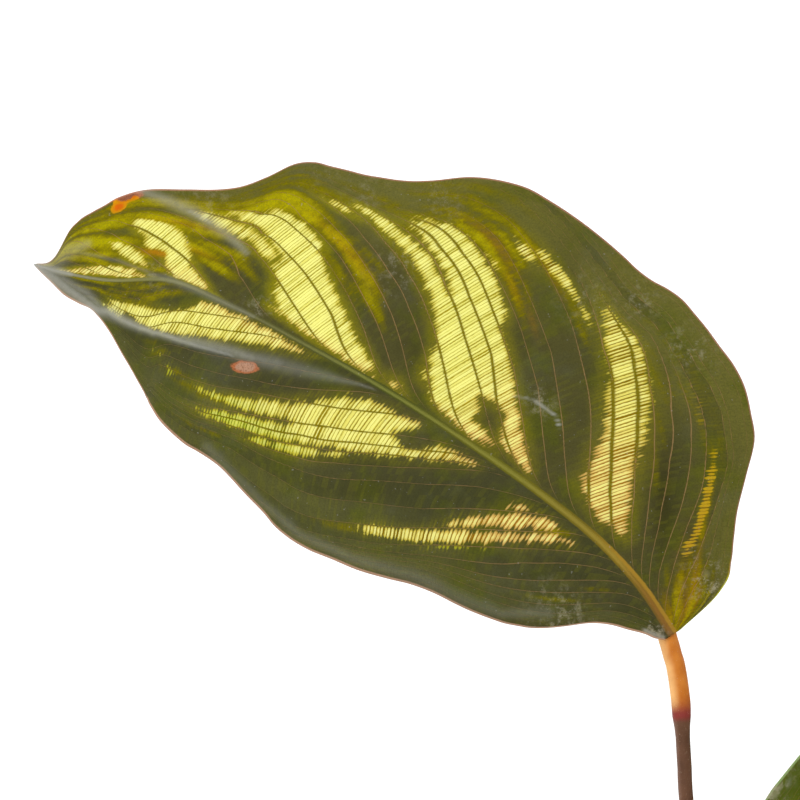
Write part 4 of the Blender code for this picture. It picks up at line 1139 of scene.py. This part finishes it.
def with_veins(finish, colour, marks):
    """Draws the side veins, which are pale on the feathers and dark across the panels."""
    nearest = marks.vein.combine("ROUND")
    beside = abs(marks.vein - nearest) * marks.gap + (marks.mottle - 0.5) * 0.10
    spare = nearest.combine("MODULO", 2.0)
    clear = finish.step(marks.reach, 0.8, 2.4) * finish.step(marks.gap, 1.2, 2.6)
    clear = clear * finish.step(finish.field("rim"), 0.4, 1.2) * (1.0 - marks.crowd * spare)
    marks.cut = finish.step(beside - marks.opened * 0.15, 0.13, 0.03) * clear
    shade = finish.step(beside, 0.55, 0.14) * clear * marks.opened
    vein_tint = finish.mix(marks.opened, lit_tint(166, 126, 78), lit_tint(108, 98, 6))
    worn = finish.step(marks.speck, 0.2, 0.6, 0.60, 0.95)
    return finish.lay(colour, (shade * 0.65, lit_tint(118, 106, 10)), (marks.cut * worn, vein_tint))


def with_burns(finish, colour, marks):
    """Lays the burnt spots over a blade, with orange at the margin."""
    ragged = (marks.mottle - 0.5) * 0.5 + (finish.noise(420.0, 2.0, 0.5) - 0.5) * 0.9
    scar = finish.field("scar") + ragged
    by_tip = finish.step(marks.station, 0.75, 0.80)
    crust = finish.mix(by_tip, lit_tint(196, 146, 116), lit_tint(148, 94, 68))
    amber = finish.mix(finish.step(scar, 0.10, 0.80), lit_tint(240, 152, 12), lit_tint(238, 104, 12))
    singe = finish.step(finish.field("singe") + (marks.mottle - 0.5) * 0.5, 0.35, 0.65)
    burnt = finish.lay(
        lit_tint(196, 108, 66),
        (finish.step(scar, 0.15, 0.60), crust),
        (finish.step(marks.speck, 0.50, 0.62) * 0.5, lit_tint(106, 56, 26)),
        (singe, amber))
    return finish.mix(finish.step(scar, -0.12, 0.12), colour, burnt)


def with_rim(finish, colour, marks):
    """Draws the thin margin: pink-brown, yellow by the petiole, green on the second leaf."""
    base_rim = finish.step(marks.station, 0.036, 0.022) * (1.0 - marks.narrow)
    rim = finish.field("rim") - marks.narrow * 0.15 - base_rim * 0.25 - marks.green_rim * 0.35
    rim_tint = finish.lay(
        finish.mix(marks.narrow, lit_tint(196, 130, 104), lit_tint(224, 164, 132)),
        (base_rim, lit_tint(214, 214, 50)), (marks.green_rim, lit_tint(170, 204, 124)))
    return finish.mix(finish.step(rim, 0.45, 0.15) * 0.9, colour, rim_tint)


def blade_pattern(finish):
    """Works out a blade's colour against the light, and the marks that its two faces share."""
    marks = row_marks(finish)
    pane = panel_colour(finish, marks)
    colour = finish.mix(marks.opened, ground_colour(finish, marks), pane)
    for layer in (with_veins, with_burns, with_rim):
        colour = layer(finish, colour, marks)
    return colour, marks


def with_rib(finish, colour, marks):
    """Lays the midrib over a blade's colour: a light core between dark sides, and a painted highlight on
    one side by the base.
    """
    station, narrow = marks.station, marks.narrow
    rib = finish.field("rib")
    lean = finish.step(station, 0.26, 0.06) * (narrow - 0.5)
    across = rib * (lean * 0.36 + 1.0) + (marks.mottle - 0.5) * 0.25
    fibre = finish.wander(rib * 4.5 + narrow * 7.0 + station * 2.5, 2.0, 0.6)
    inside = finish.step(across + (fibre - 0.5) * 1.6, 0.75, 0.15)
    rib_tint = finish.mix(inside, finish.ramp(station, RIB_SIDE), finish.ramp(station, RIB_CORE))
    # Painted highlight: near the base one side of the midrib is lighter and golden, as if lit
    painted_lit_side = finish.step(across, 0.25, 0.55) * finish.step(lean, -0.15, -0.42)
    rib_tint = finish.mix(painted_lit_side * 0.85, rib_tint, lit_tint(190, 140, 44))
    return finish.mix(finish.step(across, 1.12, 0.88), colour, rib_tint)


def blade_face():
    """Makes the upper face: olive feathers, pale panels, fine veins, dust and lint, and a painted grey
    sheen.
    """
    finish = Finish("blade_face")
    colour, marks = blade_pattern(finish)
    colour = with_rib(finish, colour, marks)
    streak = finish.wander(marks.vein * 22.0, 3.0, 0.6) + (marks.mottle - 0.5) * 0.3
    # Painted sheen: grey highlights painted in streaks along the veins over the folds and the tip
    sheen = finish.field("sheen") * finish.step(streak, 0.25, 0.65, 0.55, 1.0)
    # Dust smudges, some of them painted grey sheen
    dust_and_sheen_amount = finish.field("dust")
    dust = dust_and_sheen_amount * finish.step(finish.noise(520.0, 8.0, 0.8), 0.48, 0.66)
    dust = dust + finish.step(dust_and_sheen_amount, 1.6, 2.6) * 0.5
    lint = finish.step(finish.noise(1500.0, 1.0, 0.5), 0.74, 0.80)
    colour = finish.lay(
        colour,
        (sheen.combine("MINIMUM", 0.85), lit_tint(186, 188, 178)),
        (dust.combine("MINIMUM", 0.8), lit_tint(192, 182, 146)),
        (lint * 0.35, lit_tint(206, 204, 186)))
    brightness = finish.field("tone") * 0.3 + 1.0
    toned = finish.node("ShaderNodeHueSaturation", None, {"Color": colour, "Value": brightness}).outputs[0]
    relief = marks.lit * 0.25 + marks.mottle * 0.5 - marks.cut * 0.6 + 0.5
    skin = finish.skin(toned, marks.mottle * 0.2 + dust * 0.3 + 0.30, 0.07,
                       finish.bump(relief, 0.00025, 0.7))
    return finish.close_leaf(skin, toned)


def blade_back():
    """Makes the underside: the same pattern with purple feathers."""
    finish = Finish("blade_back")
    colour, marks = blade_pattern(finish)
    purple = finish.mix(marks.mottle, tint(100, 42, 54), tint(126, 62, 70))
    pale = finish.mix(marks.mottle, tint(188, 188, 112), tint(206, 192, 134))
    cover = finish.lay(purple, (marks.opened, pale), (marks.cut * 0.5, tint(120, 66, 60)))
    relief = marks.lit * 0.25 + marks.mottle * 0.5 + 0.3
    skin = finish.skin(with_rib(finish, cover, marks), marks.mottle * 0.2 + 0.42, 0.15,
                       finish.bump(relief, 0.0002, 0.7))
    return finish.close_leaf(skin, with_rib(finish, colour, marks))


def petiole_finish():
    """Makes the petioles' skin: orange joint, wine-red ring, purple-brown stem, greener sheath, with
    painted light that makes the left side paler and the joint cream there.
    """
    finish = Finish("petiole_skin")
    joint = finish.field("joint")
    sheath = finish.field("sheath")
    speckle = finish.noise(2600.0, 3.0, 0.7)
    streak = finish.noise(160.0, 3.0, 0.5)
    # Painted light: the side that faces -x is paler, and the joint gets a painted cream highlight there
    flank = finish.field("flank")
    stem = finish.mix(finish.step(streak, 0.3, 0.7), tint(80, 52, 34), tint(98, 66, 46))
    stem = finish.mix(finish.step(flank, 0.4, 1.0) * 0.5, stem, tint(128, 98, 84))
    stem = finish.mix(sheath, stem, tint(98, 94, 46))
    orange = finish.mix(finish.step(streak, 0.25, 0.75), tint(172, 92, 18), tint(200, 124, 44))
    painted_flank_highlight = finish.step(flank + (streak - 0.5) * 0.6, -0.1, 1.0)
    orange = finish.mix(painted_flank_highlight * 0.8, orange, tint(236, 186, 122))
    ragged = joint + (speckle - 0.5) * 0.08
    colour = finish.lay(
        stem,
        (finish.step(ragged, -0.25, -0.13), tint(128, 48, 42)),
        (finish.step(ragged, -0.12, 0.12), orange),
        (finish.step(speckle, 0.62, 0.72) * 0.35, tint(190, 170, 150)))
    return finish.close(finish.skin(colour, speckle * 0.2 + 0.38, 0.15, finish.bump(speckle, 0.00015, 0.6)))


def young_finish():
    """Makes the rolled young leaf: pale green with fine lengthwise veins."""
    finish = Finish("young_leaf_skin")
    turn = finish.field("turn")
    along = finish.field("along")
    vein = (turn * 60.0 + along * 9.0).combine("SINE")
    patch = finish.noise(60.0, 3.0, 0.5)
    colour = finish.mix(finish.step(patch, 0.35, 0.65), tint(150, 170, 84), tint(176, 184, 110))
    colour = finish.mix(finish.step(vein, 0.3, 1.0) * 0.35, colour, tint(126, 96, 76))
    colour = finish.mix(finish.step(along, 0.12, 0.0), colour, tint(150, 96, 70))
    relief = finish.bump(vein * 0.5 + 0.5, 0.0002, 0.5)
    return finish.close(finish.skin(colour, patch * 0.15 + 0.36, 0.35, relief))


def clay_finish():
    """Makes unglazed terracotta: fine grain, throwing rings, a pale bloom, and darker towards the foot."""
    finish = Finish("terracotta")
    place = finish.node("ShaderNodeTexCoord").outputs["Object"]
    height = finish.number("ShaderNodeSeparateXYZ", None, {0: place}, "Z")
    grain = finish.noise(1500.0, 5.0, 0.65)
    cloud = finish.noise(26.0, 4.0, 0.6)
    blotch = finish.noise(70.0, 5.0, 0.7)
    colour = finish.mix(finish.step(cloud, 0.3, 0.7), tint(188, 106, 72), tint(206, 128, 92))
    colour = finish.mix(finish.step(grain, 0.55, 0.75) * 0.3, colour, tint(150, 84, 60))
    level = height + (cloud - 0.5) * 0.03
    # Darker towards the foot of the pot
    darker_foot = finish.step(level, 0.030, 0.004)
    colour = finish.mix(darker_foot * 0.5, colour, tint(140, 78, 56))
    bloom = finish.step(blotch, 0.52, 0.78) * finish.step(level, 0.135, 0.075)
    colour = finish.mix(bloom * 0.45, colour, tint(226, 206, 190))
    rings = (height * 2600.0 + cloud * 3.0).combine("SINE")
    relief = finish.bump(grain * 0.7 + rings * 0.15 + blotch * 0.3, 0.0004, 0.6)
    return finish.close(finish.skin(colour, grain * 0.15 + 0.74, 0.3, relief))


def earth_finish(name, dark, pale, scale):
    """Makes a rough grain finish in two tones."""
    finish = Finish(name)
    coarse = finish.noise(scale, 4.0, 0.65)
    fine = finish.noise(scale * 8.0, 4.0, 0.7)
    colour = finish.mix(finish.step(coarse + (fine - 0.5) * 0.5, 0.35, 0.68), dark, pale)
    return finish.close(finish.skin(colour, fine * 0.15 + 0.8, 0.2, finish.bump(fine, 0.0006, 0.8)))


def floor_finish():
    """Makes the plain pale floor."""
    finish = Finish("studio_floor")
    patch = finish.noise(2.0, 2.0, 0.5)
    colour = finish.mix(patch, (0.80, 0.80, 0.80, 1.0), (0.83, 0.83, 0.83, 1.0))
    return finish.close(finish.skin(colour, 0.8, 0.2))


FINISHES = {
    "blade_face": blade_face(),
    "blade_back": blade_back(),
    "petiole": petiole_finish(),
    "young_leaf": young_finish(),
    "clay": clay_finish(),
    "soil": earth_finish("potting_mix", tint(34, 25, 19), tint(72, 53, 40), 160.0),
    "bark": earth_finish("bark_chips", tint(60, 38, 26), tint(112, 76, 50), 220.0),
    "perlite": earth_finish("perlite", tint(196, 190, 180), tint(232, 230, 224), 300.0),
    "floor": floor_finish(),
}


def curve_points(start, first_handle, second_handle, end, count):
    """Returns points along a cubic curve, without its first one."""
    points = []
    for index in range(1, count + 1):
        u = index / count
        v = 1 - u
        points.append(start * v**3 + first_handle * 3 * v**2 * u
                      + second_handle * 3 * v * u**2 + end * u**3)
    return points


def stem_line(foot, top, lean, along, drop, lead):
    """Lists a petiole's points, radii, and its joint and sheath shares."""
    turn = math.radians(foot[1])
    x, y = foot[0] * math.cos(turn), foot[0] * math.sin(turn)
    root = Vector((x, y, SOIL_TOP - STEM_DEPTH))
    collar = Vector((x, y, SOIL_TOP + STRAIGHT_RISE))
    built_end = Vector(top) - along * END_GAP - drop
    reach = built_end - collar
    aim = Vector((reach.x * lean, reach.y * lean, reach.z)).normalized()
    knee = built_end - (aim + along * lean * JOINT_TURN).normalized() * PULVINUS_LENGTH
    end = built_end + along * lead
    stretch = (knee - collar).length
    up = Vector((0, 0, 1))
    stem = curve_points(collar, collar + up * stretch * FOOT_HOLD, knee - aim * stretch * KNEE_HOLD,
                        knee, STEM_STEPS)
    joint = curve_points(knee, knee + aim * PULVINUS_LENGTH * JOINT_HOLDS[0],
                         end - along * PULVINUS_LENGTH * JOINT_HOLDS[1], end, JOINT_STEPS)
    points = [root, (root + collar) / 2, collar] + stem + joint
    radii, joints, sheaths = [], [], []
    before = len(points) - len(joint) - 1
    for index, point in enumerate(points):
        height = (point.z - collar.z) / SHEATH_HEIGHT
        taper = float(ease(height, 0.0, 1.0))
        past = (index - before) / len(joint)
        if index < before:
            past = -(knee - point).length / PULVINUS_LENGTH
        swell = float(ease(past, *SWELL_RANGE))
        radius = SHEATH_RADIUS + (STEM_RADIUS - SHEATH_RADIUS) * taper
        radii.append(radius + (PULVINUS_RADIUS * JOINT_SWELL - radius) * swell)
        joints.append(past)
        sheaths.append(1.0 - taper)
    return points, radii, joints, sheaths


def frames_along(points):
    """Returns two directions square to the line at each of its points, without twist."""
    aims = [(after - before).normalized()
            for before, after in zip([points[0]] + points[:-1], points[1:] + [points[-1]])]
    side = aims[0].orthogonal().normalized()
    sides = []
    for aim in aims:
        side = (side - aim * side.dot(aim)).normalized()
        sides.append((side.copy(), aim.cross(side)))
    return sides


def tube_mesh(name, points, radii, groove, values):
    """Makes a closed tube from a grid that is rolled round the line."""
    steps = len(points) - 1
    shape = bmesh.new()
    bmesh.ops.create_grid(shape, x_segments=steps, y_segments=STEM_SIDES, size=0.5)
    sides = frames_along(points)
    layers = {key: shape.verts.layers.float.new(key) for key in values}
    # How far each point faces -x, kept for the petiole's painted light on that side
    flank = shape.verts.layers.float.new("flank")
    for vertex in shape.verts:
        index = round((vertex.co.x + 0.5) * steps)
        turn = (vertex.co.y + 0.5) * 2 * math.pi
        first, second = sides[index]
        depth = groove[index] * math.exp(-((turn - math.pi) / GROOVE_WIDTH) ** 2)
        radius = radii[index] * (1 - depth)
        outward = first * math.cos(turn) + second * math.sin(turn)
        vertex.co = points[index] + outward * radius
        vertex[flank] = -outward.x
        for key, layer in layers.items():
            vertex[layer] = values[key][index]
    bmesh.ops.remove_doubles(shape, verts=shape.verts, dist=0.00002)
    bmesh.ops.holes_fill(shape, edges=shape.edges, sides=STEM_SIDES + 2)
    bmesh.ops.recalc_face_normals(shape, faces=shape.faces)
    return finished_mesh(name, shape)


def add_piece(name, mesh, finish, node):
    """Adds a mesh as a piece with one finish."""
    piece = new_object(name, mesh)
    mesh.materials.append(FINISHES[finish])
    settle(piece, node)
    return piece


def beside_route(height):
    """Returns how far the large leaf's petiole stands to the right of its plain curve."""
    places, shifts = np.array(LARGE_PETIOLE_SHIFT).T
    return float(np.interp(height, places, shifts))


def petiole_piece(number, leaf):
    """Makes one fine petiole with its sheath and its joint."""
    place = placement(leaf)
    start, ahead = blade_points(leaf, np.array([0.0, 0.02]), np.array([0.0, 0.0]))
    along = (place @ Vector(ahead) - place @ Vector(start)).normalized()
    normal = (place.to_3x3() @ Vector((0, 0, 1))).normalized()
    below = (normal - along * normal.dot(along)).normalized() * PULVINUS_DROP
    points, radii, joints, sheaths = stem_line(leaf.foot, leaf.base, leaf.lean, along, below, JOINT_LEAD)
    if number == 1:
        points = [point + Vector((beside_route(point.z), 0, 0)) for point in points]
    groove = [GROOVE_DEPTH * sheath for sheath in sheaths]
    values = {"joint": joints, "sheath": sheaths}
    mesh = tube_mesh("calathea_petiole_%02d" % number, points, radii, groove, values)
    add_piece(mesh.name, mesh, "petiole", "petiole_%02d" % number)


def young_petiole(up):
    """Makes the young leaf's petiole, which has no joint yet."""
    points, radii, _, sheaths = stem_line((0.0, 0), YOUNG_BASE, 1.0, up, Vector((0, 0, 0)), 0.0)
    radii = [min(radius, YOUNG_STEM_RADIUS) for radius in radii]
    values = {"joint": [-1.0] * len(points), "sheath": sheaths}
    mesh = tube_mesh("calathea_petiole_young", points, radii, [0.0] * len(points), values)
    add_piece(mesh.name, mesh, "petiole", "petiole_young")


def young_roll(up):
    """Makes the young leaf, still rolled, from a sheet wound round its own line."""
    shape = bmesh.new()
    bmesh.ops.create_grid(shape, x_segments=ROLL_GRID[0], y_segments=ROLL_GRID[1], size=0.5)
    turn_layer = shape.verts.layers.float.new("turn")
    along_layer = shape.verts.layers.float.new("along")
    first = up.orthogonal().normalized()
    second = up.cross(first)
    base = Vector(YOUNG_BASE)
    for vertex in shape.verts:
        along = vertex.co.x + 0.5
        turn = vertex.co.y + 0.5
        widen = float(ease(along, 0.0, 0.16))
        radius = (ROLL_FOOT_RADIUS + (ROLL_RADIUS - ROLL_FOOT_RADIUS) * widen) * (1 - 0.86 * along**2.6)
        radius *= 0.72 + 0.28 * turn
        angle = 2 * math.pi * ROLL_TURNS * turn + 1.1 * along
        side = first * math.cos(angle) + second * math.sin(angle)
        vertex[turn_layer] = turn
        vertex[along_layer] = along
        vertex.co = base + up * ROLL_LENGTH * along + side * radius
    bmesh.ops.recalc_face_normals(shape, faces=shape.faces)
    mesh = finished_mesh("calathea_blade_young", shape)
    roll = add_piece(mesh.name, mesh, "young_leaf", "blade_young")
    solid = roll.modifiers.new("thickness", "SOLIDIFY")
    solid.thickness = ROLL_THICKNESS
    solid.offset = 0


def rounded(corner, before, after, radius, count):
    """Returns an arc that rounds a corner of a profile."""
    corner, before, after = Vector(corner), Vector(before), Vector(after)
    start = corner + (before - corner).normalized() * radius
    end = corner + (after - corner).normalized() * radius
    arc = []
    for index in range(count + 1):
        u = index / count
        arc.append(start * (1 - u) ** 2 + corner * 2 * u * (1 - u) + end * u**2)
    return arc


def pot_outline():
    """Lists the pot's profile with rounded edges, from the inside floor to the base's centre."""
    band_foot = POT_HEIGHT - BAND_HEIGHT
    neck = POT_TOP_RADIUS - BAND_STEP
    slope = (neck - POT_BASE_RADIUS) / band_foot
    inside_top = POT_BASE_RADIUS + slope * band_foot - POT_WALL
    inside_floor = POT_BASE_RADIUS + slope * POT_FLOOR - POT_WALL
    corners = ((0.0, POT_FLOOR), (inside_floor, POT_FLOOR), (inside_top, band_foot),
               (inside_top, POT_HEIGHT), (POT_TOP_RADIUS, POT_HEIGHT),
               (POT_TOP_RADIUS - 0.0012, band_foot), (neck - 0.0004, band_foot - 0.0004),
               (POT_BASE_RADIUS, 0.0), (0.0, 0.0))
    radii = (0.0, 0.003, 0.004, 0.0024, 0.0028, 0.0016, 0.0012, 0.0018, 0.0)
    outline = [Vector(corners[0])]
    for index in range(1, len(corners) - 1):
        outline += rounded(corners[index], corners[index - 1], corners[index + 1], radii[index], 5)
    outline.append(Vector(corners[-1]))
    return [(point.x, point.y) for point in outline]


def drain_cutter(index):
    """Makes the round cutter of one drain hole."""
    angle = 2 * math.pi * index / DRAIN_COUNT + math.pi / 6
    middle = POT_FLOOR / 2
    place = Matrix.Translation((DRAIN_RING * math.cos(angle), DRAIN_RING * math.sin(angle), middle))
    shape = bmesh.new()
    bmesh.ops.create_cone(shape, cap_ends=True, segments=DRAIN_STEPS, radius1=DRAIN_RADIUS,
                          radius2=DRAIN_RADIUS, depth=POT_FLOOR * 2.5, matrix=place)
    name = "drain_%d" % index
    return new_object(name, finished_mesh(name, shape, smooth=False))


def pot_piece():
    """Turns the pot and cuts its drain holes."""
    shape = bmesh.new()
    line = [shape.verts.new((radius, 0.0, height)) for radius, height in pot_outline()]
    edges = [shape.edges.new(pair) for pair in zip(line, line[1:])]
    bmesh.ops.subdivide_edges(shape, edges=[e for e in edges if e.calc_length() > 0.02], cuts=10)
    bmesh.ops.spin(shape, geom=shape.verts[:] + shape.edges[:], cent=(0, 0, 0), axis=(0, 0, 1),
                   angle=2 * math.pi, steps=POT_STEPS, use_merge=True)
    bmesh.ops.remove_doubles(shape, verts=shape.verts, dist=0.00001)
    bmesh.ops.recalc_face_normals(shape, faces=shape.faces)
    pot = new_object("clay_pot_body", finished_mesh("clay_pot_body", shape, smooth=False))
    cutters = [drain_cutter(index) for index in range(DRAIN_COUNT)]
    for cutter in cutters:
        cut = pot.modifiers.new("drain", "BOOLEAN")
        cut.operation = "DIFFERENCE"
        cut.object = cutter
    bpy.context.view_layer.update()
    drilled = bpy.data.meshes.new_from_object(pot.evaluated_get(bpy.context.evaluated_depsgraph_get()))
    for item in cutters + [pot]:
        bpy.data.objects.remove(item, do_unlink=True)
    drilled.shade_smooth()
    drilled.set_sharp_from_angle(angle=math.radians(40))
    add_piece("clay_pot", drilled, "clay", "pot")


def ground_height(x, y):
    """Returns the soil's height: mounds, crumbs and fine grain."""
    height = SOIL_TOP
    for scale, layer, depth in SOIL_ROUGHNESS:
        height += depth * noise.noise(Vector((x * scale, y * scale, layer)))
    return height


def soil_piece():
    """Makes the soil's fine surface, which fills the pot's mouth."""
    shape = bmesh.new()
    bmesh.ops.create_grid(shape, x_segments=SOIL_GRID, y_segments=SOIL_GRID, size=1.0)
    for vertex in shape.verts:
        x, y = vertex.co.x, vertex.co.y
        vertex.co.x = SOIL_RADIUS * x * math.sqrt(1 - y * y / 2)
        vertex.co.y = SOIL_RADIUS * y * math.sqrt(1 - x * x / 2)
        vertex.co.z = ground_height(vertex.co.x, vertex.co.y)
    border = [side for side in shape.edges if side.is_boundary]
    skirt = bmesh.ops.extrude_edge_only(shape, edges=border)["geom"]
    foot = [item for item in skirt if isinstance(item, bmesh.types.BMVert)]
    for vertex in foot:
        vertex.co.x *= SOIL_INNER
        vertex.co.y *= SOIL_INNER
        vertex.co.z = SOIL_TOP - SOIL_DEPTH
    rim = [item for item in skirt if isinstance(item, bmesh.types.BMEdge)]
    bmesh.ops.contextual_create(shape, geom=rim)
    bmesh.ops.recalc_face_normals(shape, faces=shape.faces)
    mesh = finished_mesh("potting_soil", shape)
    mesh.set_sharp_from_angle(angle=math.radians(60))
    add_piece("potting_soil", mesh, "soil", "soil")


def grains(name, finish, count, sizes, flatness, chance):
    """Scatters rough grains that are half sunk in the soil."""
    shape = bmesh.new()
    for _ in range(count):
        radius = SOIL_RADIUS * SOIL_INNER * math.sqrt(chance.random())
        angle = chance.uniform(0, 2 * math.pi)
        x, y = radius * math.cos(angle), radius * math.sin(angle)
        size = chance.uniform(*sizes)
        made = bmesh.ops.create_icosphere(shape, subdivisions=1, radius=size)
        stretch = Matrix.Diagonal((chance.uniform(0.7, 1.3), chance.uniform(0.6, 1.1), flatness, 1.0))
        turn = Matrix.Rotation(chance.uniform(0, 6.3), 4, "Z")
        turn = turn @ Matrix.Rotation(chance.uniform(-0.5, 0.5), 4, "X")
        for vertex in made["verts"]:
            vertex.co *= chance.uniform(0.8, 1.15)
        lift = ground_height(x, y) + size * flatness * 0.25
        bmesh.ops.transform(shape, matrix=Matrix.Translation((x, y, lift)) @ turn @ stretch,
                            verts=made["verts"])
    mesh = finished_mesh(name, shape)
    mesh.set_sharp_from_angle(angle=math.radians(35))
    add_piece(name, mesh, finish, None)


def plain_floor():
    """Lays the round floor of the studio."""
    shape = bmesh.new()
    bmesh.ops.create_circle(shape, cap_ends=True, segments=FLOOR_STEPS, radius=FLOOR_RADIUS)
    mesh = finished_mesh("floor", shape, smooth=False)
    mesh.materials.append(FINISHES["floor"])
    new_object("floor", mesh)


def white_surroundings():
    """Sets the even white light from all round."""
    world = bpy.data.worlds.new("white_surroundings")
    world.use_nodes = True
    inputs = world.node_tree.nodes["Background"].inputs
    inputs["Color"].default_value = (1.0, 1.0, 1.0, 1.0)
    inputs["Strength"].default_value = WORLD_STRENGTH
    bpy.context.scene.world = world


def soft_light():
    """Hangs one soft light in front, on the left."""
    light = bpy.data.lights.new("soft_key", "AREA")
    light.energy = KEY_POWER
    light.size = KEY_SIZE
    key = new_object("soft_key", light)
    key.location = KEY_PLACE
    key.rotation_euler = (Vector(KEY_AIM) - key.location).to_track_quat("-Z", "Y").to_euler()


def front_camera():
    """Aims the camera straight at the large leaf."""
    lens = bpy.data.cameras.new("camera")
    lens.sensor_width = SENSOR_WIDTH
    lens.lens = SENSOR_WIDTH * (LEAF_DEPTH - CAMERA_Y) / VIEW_SPAN
    lens.clip_start, lens.clip_end = CLIP_RANGE
    camera = new_object("camera", lens)
    camera.location = (VIEW_CENTRE[0], CAMERA_Y, VIEW_CENTRE[1])
    camera.rotation_euler = (math.pi / 2, 0, 0)
    bpy.context.scene.camera = camera
    bpy.context.scene.view_settings.view_transform = "Standard"


def main():
    """Builds the studio and every piece of the plant, in the order of the random draws."""
    chance = random.Random(11)
    plain_floor()
    white_surroundings()
    soft_light()
    front_camera()
    for number, leaf in enumerate(LEAVES, start=1):
        blade_piece(number, leaf, chance)
        petiole_piece(number, leaf)
    up = Vector(YOUNG_AIM).normalized()
    young_petiole(up)
    young_roll(up)
    pot_piece()
    soil_piece()
    for grain in GRAINS:
        grains(*grain, chance)


main()
